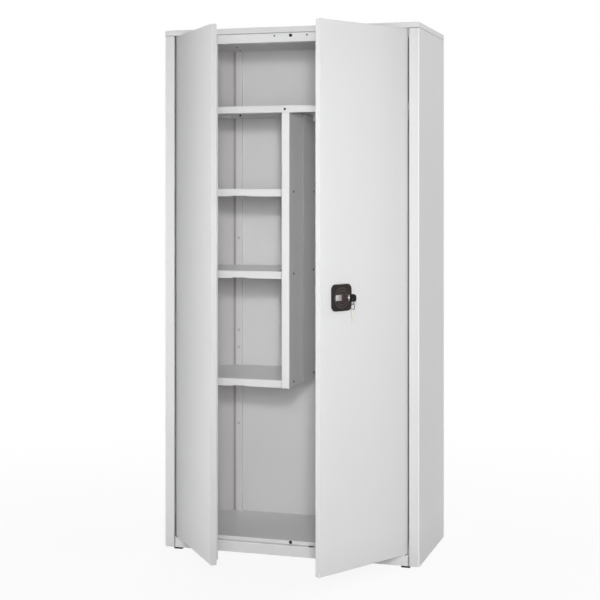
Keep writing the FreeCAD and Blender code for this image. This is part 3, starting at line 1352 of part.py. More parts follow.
os.makedirs("parts", exist_ok=True)
write_body()
write_fittings()
write_left_door()
write_right_door()
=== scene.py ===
import bmesh
import bpy
import math
from mathutils import Matrix, Vector


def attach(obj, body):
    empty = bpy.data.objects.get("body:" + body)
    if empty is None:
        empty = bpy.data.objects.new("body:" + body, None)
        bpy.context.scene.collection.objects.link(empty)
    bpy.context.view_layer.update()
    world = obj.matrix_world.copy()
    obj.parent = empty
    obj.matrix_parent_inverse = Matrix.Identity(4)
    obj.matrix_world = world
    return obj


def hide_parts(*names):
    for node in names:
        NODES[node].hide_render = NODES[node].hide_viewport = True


# A light-grey sheet-steel utility cabinet with two doors ajar, in metres.
# +X is the viewer's right, +Y runs from the doors to the back and +Z is up.

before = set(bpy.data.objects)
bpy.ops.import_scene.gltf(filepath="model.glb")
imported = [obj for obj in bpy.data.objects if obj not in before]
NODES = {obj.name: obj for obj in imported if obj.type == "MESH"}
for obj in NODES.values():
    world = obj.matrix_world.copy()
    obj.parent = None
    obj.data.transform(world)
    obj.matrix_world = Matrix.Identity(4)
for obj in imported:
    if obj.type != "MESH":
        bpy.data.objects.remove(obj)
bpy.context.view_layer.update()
SCENE = bpy.context.scene
MM = 0.001
WELD = 0.000004
SHARP_ANGLE = 34

# From the construction: hinges in metres, angles in degrees, the rest in millimetres
HINGE_X = 0.4045
HINGE_Y = -0.205
LEFT_ANGLE = 52.25
RIGHT_ANGLE = 60.8
LOCK_X = 92.5
LOCK_Z = 908.0
PLATE_Y = -210.0
KNOB_Y = -213.8
LABEL_OFFSET = 18.8
CYLINDER_OFFSET = 21.0
KEY_X = 113.5
KEY_HEAD_Y = -241.0
HANGING_Y = -242.0
LINK_Z = 894.1
RING_Z = 880.4
SPARE_Z = 866.9
LEDGE_Y = -187.0
LINTEL_Z = 1772.0
BUFFER_HEIGHTS = (LINTEL_Z, 48.2)
SHELF_SCREW_HEIGHTS = (1240.5, 958.5, 587.0)
ANGLE_HEIGHTS = (1502.5, 1216.0, 934.0, 562.5)

# Raised strips in the rear corners: the middle in metres, the holes in millimetres
STRIP_MIDDLE = 0.316
STRIP_HOLE_HEIGHTS = (379.0, 662.0, 725.0, 1067.0)

# Light and floor
WORLD_LIGHT = 0.155
FLOOR_REACH = 30.0
FLOOR_WHITE_FROM = 2.4
FLOOR_NEAR_SHARE = 0.90

# Soft boxes: name, place, aim, width and height in metres, level at the aim, spread in degrees
LAMPS = (
    ("camera_box", (1.25, -4.9, 2.0), (0.05, -0.1, 0.85), 1.3, 1.3, 0.23, 180.0),
    ("inside_strip", (1.45, -4.6, 1.3), (-0.34, -0.1, 1.00), 0.45, 1.9, 0.047, 70.0),
    ("inside_key", (1.42, -4.6, 2.10), (-0.34, -0.1, 1.0), 0.40, 0.30, 0.0078, 36.0),
    ("top_box", (0.2, 0.3, 4.4), (0.0, 0.0, 1.8), 2.4, 1.6, 0.30, 180.0),
    ("left_strip", (-2.9, -0.78, 1.2), (0.0, -0.78, 0.95), 0.30, 2.2, 0.0300, 26.0),
    ("right_box", (3.3, -0.7, 1.9), (0.4, -0.2, 1.1), 1.2, 1.6, 0.09, 180.0),
    ("right_rear_box", (3.0, 2.4, 2.3), (0.45, 0.0, 1.2), 1.4, 1.4, 0.24, 180.0),
    ("rear_box", (-1.4, 4.2, 2.2), (0.0, 0.2, 0.9), 2.0, 2.0, 0.45, 180.0),
)

# Camera: its lens in millimetres, its shift in frames, its place in metres, its turn in degrees
SENSOR_WIDTH = 36.0
FOCAL_LENGTH = 82.944
FRAME_SHIFT_X = 0.01417
FRAME_SHIFT_Y = -0.1875
EYE_PLACE = (1.4061, -4.6716, 1.2543)
EYE_TURN = 17.371


# Expressions on shader sockets

class Socket:
    """A node's output that takes part in Python expressions."""

    def __init__(self, work, link):
        self.work = work
        self.link = link

    def maths(self, operation, first, second=0.0):
        return self.work.add("ShaderNodeMath", {"operation": operation}, {0: first, 1: second})

    def __add__(self, other):
        return self.maths("ADD", self, other)

    __radd__ = __add__

    def __sub__(self, other):
        return self.maths("SUBTRACT", self, other)

    def __rsub__(self, other):
        return self.maths("SUBTRACT", other, self)

    def __mul__(self, other):
        return self.maths("MULTIPLY", self, other)

    __rmul__ = __mul__

    def __truediv__(self, other):
        return self.maths("DIVIDE", self, other)

    def __pow__(self, other):
        return self.maths("POWER", self, other)

    def clamp(self):
        return self.work.add("ShaderNodeClamp", {}, {"Value": self})


class Work:
    """A node tree with one way to add a node, its settings and what feeds its sockets."""

    def __init__(self, tree):
        self.tree = tree

    def add(self, kind, settings, feeds, output=0):
        node = self.tree.nodes.new(kind)
        for name, value in settings.items():
            if name == "stops":
                self.set_stops(node.color_ramp, value)
            else:
                setattr(node, name, value)
        for name, value in feeds.items():
            for source in value if isinstance(value, list) else [value]:
                if isinstance(source, Socket):
                    self.tree.links.new(source.link, node.inputs[name])
                else:
                    node.inputs[name].default_value = source
        return Socket(self, node.outputs[output]) if node.outputs else node

    def set_stops(self, ramp, stops):
        while len(ramp.elements) < len(stops):
            ramp.elements.new(1.0)
        for element, (position, shade) in zip(ramp.elements, stops):
            element.position = position
            element.color = (shade, shade, shade, 1.0)

    def out(self, socket, output):
        return Socket(self, socket.link.node.outputs[output])

    def background_share(self):
        """One for a ray from the camera, a reflection or glass, which sees the plain background."""
        path = self.add("ShaderNodeLightPath", {}, {})
        return (path + self.out(path, "Is Glossy Ray") + self.out(path, "Is Transmission Ray")).clamp()


class Finish(Work):
    """A material with its own surface nodes."""

    def __init__(self, name):
        self.material = bpy.data.materials.new(name)
        self.material.use_nodes = True
        super().__init__(self.material.node_tree)
        self.tree.nodes.clear()
        self.place = self.add("ShaderNodeTexCoord", {}, {}, "Object")

    def noise(self, scale, detail=2.0, stretch=(1.0, 1.0, 1.0), roughness=0.5):
        place = self.add("ShaderNodeMapping", {}, {"Vector": self.place, "Scale": stretch})
        return self.add("ShaderNodeTexNoise", {}, {"Vector": place, "Scale": scale, "Detail": detail,
                                                   "Roughness": roughness})

    def ramp(self, value, *stops):
        return self.add("ShaderNodeValToRGB", {"stops": stops}, {"Fac": value})

    def blend(self, amount, first, second):
        return self.add("ShaderNodeMix", {"data_type": "RGBA"}, {0: amount, 6: first, 7: second}, 2)

    def bump(self, height, distance, strength=1.0):
        return self.add("ShaderNodeBump", {},
                        {"Height": height, "Distance": distance, "Strength": strength})

    def surface(self, **feeds):
        named = {name.replace("_", " "): value for name, value in feeds.items()}
        shader = self.add("ShaderNodeBsdfPrincipled", {}, named)
        self.add("ShaderNodeOutputMaterial", {}, {"Surface": shader})
        return self.material


def shade(red, green, blue):
    """Colour from screen values of 0 to 255."""
    def linear(value):
        value = value / 255
        return value / 12.92 if value <= 0.04045 else ((value + 0.055) / 1.055) ** 2.4
    return (linear(red), linear(green), linear(blue), 1.0)


# Places: the doors are drawn shut and swung to where they stand at rest

def swing(hinge_x, degrees):
    """Turn of a door about its pins, from shut to its place at rest."""
    pins = Matrix.Translation((hinge_x, HINGE_Y, 0.0))
    return pins @ Matrix.Rotation(math.radians(degrees), 4, "Z") @ pins.inverted()


def at(x, y, z):
    """Move to a point given in millimetres."""
    return Matrix.Translation((x * MM, y * MM, z * MM))


STILL = Matrix.Identity(4)
LEFT_OPEN = swing(-HINGE_X, -LEFT_ANGLE)
RIGHT_OPEN = swing(HINGE_X, RIGHT_ANGLE)
FACE_FRONT = Matrix.Rotation(math.radians(90), 4, "X")
FACE_SIDE = Matrix.Rotation(math.radians(-90), 4, "Z") @ FACE_FRONT
KNOB_PLACE = RIGHT_OPEN @ at(LOCK_X, KNOB_Y, LOCK_Z) @ FACE_FRONT


# Finishes

# Tones of painted shade and painted highlight, and of dust near the floor
SOFT_PAINTED_SHADE = shade(96, 91, 91)
DEEP_PAINTED_SHADE = shade(52, 50, 49)
FLOOR_DUST = shade(150, 147, 140)
EDGE_PAINTED_SHADE = shade(150, 147, 144)
BEND_PAINTED_HIGHLIGHT = shade(254, 254, 253)

# Where painted shade and painted highlight lie, and where dust lies near the floor: pairs of a place and
# the share that shows there.
# Places are in metres, or in parts of its reach for a hole's rim. A shift moves a coordinate into a ramp's
# range.
CORNER_GROOVE = ((0.3265, 0.0), (0.3300, 0.55), (0.3375, 0.55), (0.3410, 0.16), (0.4500, 0.12))
HOLE_RIM_REACH = 0.01
HOLE_RIM = ((0.36, 0.85), (0.56, 0.0))
RIB_SHIFT = 0.21
RIB_SLOPE = ((0.1800, 0.0), (0.1825, 0.45), (0.1885, 0.45), (0.1910, 0.0))
PANEL_SHIFT = 0.25
PANEL_FRONT = ((0.0420, 1.0), (0.0440, 0.0))
DOOR_GAP = ((0.4154, 0.80), (0.4162, 0.0))
CAP_SHIFT = 1.70
UNDER_CAP = ((0.0785, 0.0), (0.0800, 1.0))
FRONT_BEND = ((0.4462, 0.0), (0.4476, 1.0))
PLINTH_JOINT = ((0.4132, 0.0), (0.4142, 0.85))
FREE_EDGE = 0.4015
FREE_EDGE_SHADED = 0.4025
HINGE_SHIFT = 0.01
HINGE_EDGE = ((0.0046, 0.85), (0.0056, 0.0))
LOW_DUST = ((0.0, 1.0), (0.14, 0.0))

# Grain of the powder coat: noise scales, depth of the peel in metres, drift in screen values
DRIFT_SCALE = 1.7
SPECK_SCALE = 1500.0
SCUFF_SCALE = 9.0
PEEL_SCALE = 520.0
PEEL_DEPTH = 0.00006
TONE_DRIFT = 4


def corner_painted_shade(finish, across, height, tone):
    """Painted shade in the groove beside each corner strip, on the slanted wall and round the strip's
    holes.
    """
    aside = across.maths("ABSOLUTE", across)
    groove = finish.ramp(aside, *CORNER_GROOVE)
    on_strip = finish.add("ShaderNodeCombineXYZ", {}, {0: aside, 2: height})
    nearest = 1.0
    for level in STRIP_HOLE_HEIGHTS:
        away = finish.add("ShaderNodeVectorMath", {"operation": "DISTANCE"},
                          {0: on_strip, 1: (STRIP_MIDDLE, 0.0, level * MM)}, "Value")
        nearest = away.maths("MINIMUM", away, nearest)
    rims = finish.ramp(nearest / HOLE_RIM_REACH, *HOLE_RIM)
    return finish.blend(rims, finish.blend(groove, tone, SOFT_PAINTED_SHADE), SOFT_PAINTED_SHADE)


def rib_painted_shade(finish, across, height, tone):
    """Painted shade on the front slope of the divider's pressed rib."""
    slope = finish.ramp(finish.out(across, 1) + RIB_SHIFT, *RIB_SLOPE)
    return finish.blend(slope, tone, SOFT_PAINTED_SHADE)


def panel_edges(finish, across, height, tone):
    """Painted shade in the door gap and under the cap, and a painted highlight down the front bend."""
    aside = across.maths("ABSOLUTE", across)
    in_front = finish.ramp(finish.out(across, 1) + PANEL_SHIFT, *PANEL_FRONT)
    gap = finish.ramp(aside, *DOOR_GAP)
    under_cap = finish.ramp(height - CAP_SHIFT, *UNDER_CAP)
    bend = finish.ramp(aside, *FRONT_BEND) * in_front
    # Painted highlight down the front bend
    tone = finish.blend(bend * 0.85, tone, BEND_PAINTED_HIGHLIGHT)
    # Painted shade in the door gap and under the cap
    painted_shading = (gap + under_cap * (in_front * 0.4 + 0.25)).clamp()
    return finish.blend(painted_shading, tone, DEEP_PAINTED_SHADE)


def plinth_ends(finish, across, height, tone):
    """Dark joint at each end of the plinth: painted shade where it meets the side panels."""
    joint = finish.ramp(across.maths("ABSOLUTE", across), *PLINTH_JOINT)
    return finish.blend(joint, tone, DEEP_PAINTED_SHADE)


def shaded_door_edges(hinge_x, degrees, edge_shade_share):
    """Painted shade on the free edge of a door, and darker painted shade on its hinge edge."""
    side = -math.copysign(1.0, hinge_x)
    turn = math.radians(degrees)
    along = (side * math.cos(turn), side * math.sin(turn), 0.0)
    start = along[0] * hinge_x + along[1] * HINGE_Y

    def painted_shading(finish, across, height, tone):
        reach = finish.add("ShaderNodeVectorMath", {"operation": "DOT_PRODUCT"},
                           {0: finish.place, 1: along}, "Value")
        free_edge_shade = finish.ramp(reach - start, (FREE_EDGE, 0.0), (FREE_EDGE_SHADED, edge_shade_share))
        tone = finish.blend(free_edge_shade, tone, EDGE_PAINTED_SHADE)
        gap = finish.ramp(reach - start + HINGE_SHIFT, *HINGE_EDGE)
        return finish.blend(gap, tone, DEEP_PAINTED_SHADE)
    return painted_shading


def powder_coat(name, screen_tone, rough=0.42, painted_shading=None, peel_strength=0.5):
    """Baked powder on steel: orange peel, a slow drift in tone and a breath of dust near the floor."""
    finish = Finish(name)
    light = shade(*screen_tone)
    dark = shade(*(value - TONE_DRIFT for value in screen_tone))
    drift = finish.noise(DRIFT_SCALE, 3.0)
    speck = finish.ramp(finish.noise(SPECK_SCALE, 1.0), (0.30, 0.0), (0.42, 1.0))
    scuff = finish.ramp(finish.noise(SCUFF_SCALE, 6.0, (1.0, 1.0, 0.25), 0.7), (0.66, 0.0), (0.74, 1.0))
    across = finish.add("ShaderNodeSeparateXYZ", {}, {"Vector": finish.place})
    height = finish.out(across, 2)
    low = finish.ramp(height, *LOW_DUST)
    tone = finish.blend(drift, dark, light)
    tone = finish.blend(1.0 - speck, tone, tuple(value * 0.93 for value in dark[:3]) + (1.0,))
    tone = finish.blend(low * 0.10 + scuff * 0.03, tone, FLOOR_DUST)
    # Painted shade and painted highlight of this part, where given
    if painted_shading:
        tone = painted_shading(finish, across, height, tone)
    peel = finish.noise(PEEL_SCALE, 2.0)
    return finish.surface(Base_Color=tone, Roughness=drift * 0.10 + scuff * 0.08 + (rough - 0.05),
                          Normal=finish.bump(peel, PEEL_DEPTH, peel_strength), IOR=1.47)


def bare_steel(name, tone, rough, stretch=(1.0, 1.0, 1.0), scale=260.0):
    """Rolled or drawn steel with fine drawn lines and slight staining."""
    finish = Finish(name)
    lines = finish.noise(scale, 4.0, stretch, 0.6)
    stain = finish.noise(24.0, 4.0)
    dark = tuple(value * 0.78 for value in tone[:3]) + (1.0,)
    return finish.surface(Base_Color=finish.blend(stain, dark, tone), Metallic=1.0,
                          Roughness=lines * 0.16 + stain * 0.08 + (rough - 0.12),
                          Normal=finish.bump(lines, 0.00002, 0.5))


def moulded_plastic(name, tone, rough, grain=900.0, depth=0.00005, gloss=0.5):
    """Moulded plastic with an eroded grain and slight wear on its sheen."""
    finish = Finish(name)
    grit = finish.noise(grain, 3.0)
    wear = finish.noise(60.0, 4.0)
    lighter = tuple(min(1.0, value * 1.45 + 0.002) for value in tone[:3]) + (1.0,)
    return finish.surface(Base_Color=finish.blend(wear * 0.55, tone, lighter),
                          Roughness=grit * 0.14 + wear * 0.10 + (rough - 0.12),
                          Normal=finish.bump(grit, depth, 0.6), IOR=1.5, Specular_IOR_Level=gloss)


def blackened_steel():
    """Black zinc of the screws."""
    finish = Finish("blackened_steel")
    wear = finish.noise(700.0, 3.0)
    return finish.surface(Base_Color=finish.blend(wear, shade(22, 22, 23), shade(52, 50, 49)),
                          Metallic=0.55, Roughness=wear * 0.2 + 0.32,
                          Normal=finish.bump(wear, 0.00002, 0.5))


def rubber():
    """Soft black rubber with a dusty bloom."""
    finish = Finish("black_rubber")
    bloom = finish.noise(320.0, 4.0)
    return finish.surface(Base_Color=finish.blend(bloom, shade(24, 24, 24), shade(46, 45, 44)),
                          Roughness=bloom * 0.12 + 0.72, Normal=finish.bump(bloom, 0.00004, 0.5))


def knob_plastic():
    """Brown-black moulded plastic, lighter on its raised ribs and grip, with painted shade in its grooves.
    """
    finish = Finish("knob_plastic")
    to_knob = KNOB_PLACE.inverted()
    local = finish.add("ShaderNodeMapping", {}, {"Vector": finish.place, "Rotation": to_knob.to_euler(),
                                                 "Location": to_knob.to_translation()})
    height = finish.out(finish.add("ShaderNodeSeparateXYZ", {}, {"Vector": local}), 2)
    # Painted shade: darker towards the groove floors, lighter on the raised ribs and grip
    raised_share = finish.ramp(height / 0.006, (0.15, 0.0), (0.40, 1.0))
    grit = finish.noise(900.0, 3.0)
    wear = finish.noise(90.0, 4.0)
    tone = finish.blend(raised_share, shade(17, 14, 13), shade(62, 53, 52))
    tone = finish.blend(wear * 0.30, tone, shade(88, 78, 76))
    return finish.surface(Base_Color=tone, Roughness=grit * 0.14 + wear * 0.10 + 0.34,
                          Normal=finish.bump(grit, 0.00005, 0.6), IOR=1.46, Specular_IOR_Level=0.3)


# One light-grey powder coat in several tones: lighter on the shelves, lintel, floor tray, divider and
# plinth as painted light, darker on the inner panels, corner uprights, closing strip and side panels as
# painted shade
COAT = powder_coat("light_grey_powder_coat", (229, 229, 229))
LEFT_DOOR_COAT = powder_coat("left_door_powder_coat", (231, 231, 231),
                             painted_shading=shaded_door_edges(-HINGE_X, -LEFT_ANGLE, 0.34))
RIGHT_DOOR_COAT = powder_coat("right_door_powder_coat", (231, 231, 231),
                              painted_shading=shaded_door_edges(HINGE_X, RIGHT_ANGLE, 0.12))
SHELF_COAT = powder_coat("shelf_powder_coat", (237, 237, 237), 0.17, peel_strength=0.15)
INNER_COAT = powder_coat("inner_powder_coat", (222, 221, 221), 0.46)
CORNER_COAT = powder_coat("corner_powder_coat", (222, 220, 220), 0.46, corner_painted_shade)
DIVIDER_COAT = powder_coat("divider_powder_coat", (241, 240, 240), painted_shading=rib_painted_shade)
EDGE_COAT = powder_coat("edge_powder_coat", (216, 216, 216))
PANEL_COAT = powder_coat("panel_powder_coat", (223, 223, 223), painted_shading=panel_edges)
PLINTH_COAT = powder_coat("plinth_powder_coat", (233, 233, 233), painted_shading=plinth_ends)
PLAIN_STEEL = bare_steel("plain_steel", shade(190, 192, 194), 0.38, (1.0, 12.0, 12.0))
BRIGHT_STEEL = bare_steel("bright_steel", shade(214, 213, 210), 0.24, (6.0, 6.0, 0.5))
RING_STEEL = bare_steel("ring_steel", shade(76, 72, 66), 0.42, (1.0, 1.0, 1.0), 900.0)
KEY_STEEL = bare_steel("key_steel", shade(240, 236, 226), 0.30, (8.0, 8.0, 1.0), 500.0)
LABEL_METAL = bare_steel("label_metal", shade(205, 200, 200), 0.46, (1.0, 1.0, 14.0), 420.0)
LOCK_PLASTIC = moulded_plastic("lock_plastic", shade(32, 27, 24), 0.46, gloss=0.18)
KNOB_PLASTIC = knob_plastic()
KEY_PLASTIC = moulded_plastic("key_plastic", shade(20, 20, 21), 0.34, 1400.0, 0.00002, 0.22)
BLACK_PLASTIC = moulded_plastic("black_plastic", shade(22, 22, 23), 0.5, gloss=0.2)
SCREW_BLACK = blackened_steel()
DARK_RIVET = bare_steel("dark_rivet_steel", shade(96, 94, 92), 0.42, (1.0, 1.0, 1.0), 900.0)
RUBBER = rubber()

FINISH_OF = {
    "left_door_skin": LEFT_DOOR_COAT,
    "right_door_skin": RIGHT_DOOR_COAT,
    "top_shelf": SHELF_COAT,
    "upper_shelf": SHELF_COAT,
    "middle_shelf": SHELF_COAT,
    "lower_shelf": SHELF_COAT,
    "divider": DIVIDER_COAT,
    "closing_strip": EDGE_COAT,
    "left_side_panel": PANEL_COAT,
    "right_side_panel": PANEL_COAT,
    "plinth": PLINTH_COAT,
    "front_lintel": SHELF_COAT,
    "floor_tray": SHELF_COAT,
    "left_upright": CORNER_COAT,
    "right_upright": CORNER_COAT,
    "back_panel": INNER_COAT,
    "ceiling_panel": INNER_COAT,
    "cap_ribs": PLAIN_STEEL,
    "floor_rib": PLAIN_STEEL,
    "foot_plates": PLAIN_STEEL,
    "left_hinge_blocks": PLAIN_STEEL,
    "right_hinge_blocks": PLAIN_STEEL,
    "left_hinge_pins": BRIGHT_STEEL,
    "right_hinge_pins": BRIGHT_STEEL,
    "lock_screws": BRIGHT_STEEL,
    "upper_rod": BRIGHT_STEEL,
    "lower_rod": BRIGHT_STEEL,
    "lock_spindle": BRIGHT_STEEL,
    "lock_pinion": BRIGHT_STEEL,
    "lock_case": PLAIN_STEEL,
    "lock_cylinder": BRIGHT_STEEL,
    "cylinder_plug": BRIGHT_STEEL,
    "key_blade": KEY_STEEL,
    "key_link": RING_STEEL,
    "key_ring": RING_STEEL,
    "spare_key": KEY_STEEL,
    "tool_hooks": BRIGHT_STEEL,
    "foot_screws": BRIGHT_STEEL,
    "body_screws": SCREW_BLACK,
    "front_left_foot": BLACK_PLASTIC,
    "front_right_foot": BLACK_PLASTIC,
    "rear_left_foot": BLACK_PLASTIC,
    "rear_right_foot": BLACK_PLASTIC,
    "rod_guides": BLACK_PLASTIC,
    "rod_keepers": BLACK_PLASTIC,
    "hinge_bushes": BLACK_PLASTIC,
    "key_head": KEY_PLASTIC,
    "lock_plate": LOCK_PLASTIC,
    "turn_knob": KNOB_PLASTIC,
    "blank_label": LABEL_METAL,
    "door_buffers": RUBBER,
}


def dress_nodes():
    """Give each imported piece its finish."""
    for name, piece in NODES.items():
        piece.data.materials.clear()
        piece.data.materials.append(FINISH_OF.get(name, COAT))


# Making pieces

def settle(name, mesh, place, finish, body, slot, *stands_for):
    """Put a mesh in its place, tidy it, and make it a piece of the cabinet."""
    mesh.name = name
    mesh.transform(place)
    work = bmesh.new()
    work.from_mesh(mesh)
    bmesh.ops.remove_doubles(work, verts=work.verts, dist=WELD)
    bmesh.ops.dissolve_degenerate(work, edges=work.edges, dist=WELD)
    bmesh.ops.recalc_face_normals(work, faces=work.faces)
    work.to_mesh(mesh)
    work.free()
    mesh.materials.clear()
    mesh.materials.append(finish)
    mesh.shade_smooth()
    mesh.set_sharp_from_angle(angle=math.radians(SHARP_ANGLE))
    made = bpy.data.objects.new(name, mesh)
    SCENE.collection.objects.link(made)
    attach(made, body)
    if stands_for:
        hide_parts(*stands_for)


def baked(maker):
    """Plain mesh of a maker object, which is then thrown away."""
    SCENE.collection.objects.link(maker)
    bpy.context.view_layer.update()
    ready = maker.evaluated_get(bpy.context.evaluated_depsgraph_get())
    mesh = bpy.data.meshes.new_from_object(ready)
    maker.modifiers.clear()
    bpy.data.objects.remove(maker)
    return mesh


def circle(radius, middle=(0.0, 0.0), steps=40, waves=0, depth=0.0, backwards=False):
    """Points round a circle, with a gentle wave in its radius if asked."""
    points = []
    for step in range(steps):
        turn = 2 * math.pi * step / steps
        reach = radius - depth * (1 - math.cos(waves * turn)) / 2
        points.append((middle[0] + reach * math.cos(turn), middle[1] + reach * math.sin(turn)))
    return points[::-1] if backwards else points


def rounded(width, height, corner, middle=(0.0, 0.0), steps=8, backwards=False):
    """Points round a rectangle with rounded corners."""
    points = []
    for quarter, (side_x, side_y) in enumerate(((1, 1), (-1, 1), (-1, -1), (1, -1))):
        x = middle[0] + side_x * (width / 2 - corner)
        y = middle[1] + side_y * (height / 2 - corner)
        for step in range(steps + 1):
            turn = math.pi / 2 * (quarter + step / steps)
            points.append((x + corner * math.cos(turn), y + corner * math.sin(turn)))
    return points[::-1] if backwards else points


def plate(outlines, thickness, edge):
    """Flat stamping in millimetres with rounded edges; an outline that runs backwards is a hole."""
    flat = bpy.data.curves.new("plate", "CURVE")
    flat.dimensions = "2D"
    flat.fill_mode = "BOTH"
    flat.extrude = (thickness / 2 - edge) * MM
    flat.bevel_depth = edge * MM
    flat.bevel_resolution = 2
    flat.offset = -edge * MM
    for outline in outlines:
        line = flat.splines.new("POLY")
        line.points.add(len(outline) - 1)
        line.use_cyclic_u = True
        for point, (x, y) in zip(line.points, outline):
            point.co = (x * MM, y * MM, 0.0, 1.0)
    return baked(bpy.data.objects.new("plate", flat))


def combine(operation, mesh, *others):
    """Mesh joined with the others, or with their shapes cut out of it."""
    for shape in (mesh, *others):
        work = bmesh.new()
        work.from_mesh(shape)
        bmesh.ops.remove_doubles(work, verts=work.verts, dist=WELD)
        bmesh.ops.recalc_face_normals(work, faces=work.faces)
        work.to_mesh(shape)
        work.free()
    blank = bpy.data.objects.new("blank", mesh)
    tools = []
    for other in others:
        tool = bpy.data.objects.new("tool", other)
        SCENE.collection.objects.link(tool)
        step = blank.modifiers.new("step", "BOOLEAN")
        step.operation = operation
        step.solver = "EXACT"
        step.object = tool
        tools.append(tool)
    result = baked(blank)
    for tool in tools:
        bpy.data.objects.remove(tool)
    return result


def turned(profile, sides):
    """Mesh turned about Z from pairs of radius and height in millimetres, from axis to axis."""
    points = []
    rings = []
    for radius, height in profile:
        count = sides if radius else 1
        rings.append([len(points) + index for index in range(count)])
        for index in range(count):
            turn = 2 * math.pi * index / sides
            points.append((radius * math.cos(turn) * MM, radius * math.sin(turn) * MM, height * MM))
    faces = []
    for low, high in zip(rings, rings[1:]):
        for index in range(sides):
            after = (index + 1) % sides
            corners = [low[index % len(low)], low[after % len(low)],
                       high[after % len(high)], high[index % len(high)]]
            faces.append(list(dict.fromkeys(corners)))
    mesh = bpy.data.meshes.new("turned")
    mesh.from_pydata(points, [], faces)
    return mesh


def peg(radius, bottom, top, sides):
    """Plain round peg that cuts a hole."""
    return turned([(0, bottom), (radius, bottom), (radius, top), (0, top)], sides)


def wound(radius, half_width, half_thickness, sweep, lift, steps, sides):
    """Wire wound about Z over a sweep in degrees; lift gives its height at each angle."""
    points = []
    for step in range(steps + 1):
        angle = sweep * step / steps
        turn = math.radians(angle)
        for side in range(sides):
            around = 2 * math.pi * (side + 0.5) / sides
            across = half_width * squared(math.cos(around))
            along = half_thickness * squared(math.sin(around))
            reach = radius + across
            height = along + lift(angle)
            points.append((reach * math.cos(turn) * MM, reach * math.sin(turn) * MM, height * MM))
    faces = []
    for step in range(steps):
        for side in range(sides):
            after = (side + 1) % sides
            row = step * sides
            faces.append((row + side, row + after, row + sides + after, row + sides + side))
    faces.append(list(range(sides)))
    faces.append([steps * sides + side for side in range(sides)])
    mesh = bpy.data.meshes.new("wound")
    mesh.from_pydata(points, [], faces)
    return mesh


def squared(value):
    """Sine or cosine pushed towards a square with round corners."""
    return math.copysign(abs(value) ** 0.62, value)


# Screws, rivets and weld marks by Geometry Nodes

class Shape(Work):
    """A Geometry Nodes tree with named inputs for its sizes."""

    KINDS = {float: "NodeSocketFloat", int: "NodeSocketInt"}

    def __init__(self, name, sizes):
        tree = bpy.data.node_groups.new(name, "GeometryNodeTree")
        super().__init__(tree)
        self.inlets = {}
        tree.interface.new_socket(name="Geometry", in_out="INPUT", socket_type="NodeSocketGeometry")
        for label, value in sizes.items():
            kind = self.KINDS.get(type(value), "NodeSocketMaterial")
            inlet = tree.interface.new_socket(name=label, in_out="INPUT", socket_type=kind)
            self.inlets[label] = inlet.identifier
        tree.interface.new_socket(name="Geometry", in_out="OUTPUT", socket_type="NodeSocketGeometry")
        self.entry = self.add("NodeGroupInput", {}, {}, "Geometry")

    def size(self, label):
        return self.out(self.entry, label)

    def deliver(self, geometry, finish):
        whole = self.add("GeometryNodeRealizeInstances", {}, {"Geometry": geometry})
        whole = self.add("GeometryNodeSetMaterial", {}, {"Geometry": whole, "Material": finish})
        self.add("NodeGroupOutput", {}, {"Geometry": whole})


SLOPE_STARTS = 0.78
SLOPE_ENDS = 1.22
SHANK_SIDES = 16
SHANK_RIDGES = 18
RIDGE_DEPTH = 1.6
SPIN_TURN = 6.28
SPIN_SEED = 7


def smooth_below(shape, value, limit):
    """One below a limit and nothing above it, with a short slope between."""
    return shape.add("ShaderNodeMapRange", {"interpolation_type": "SMOOTHSTEP"},
                     {"Value": value, "From Min": limit * SLOPE_STARTS, "From Max": limit * SLOPE_ENDS,
                      "To Min": 1.0, "To Max": 0.0})


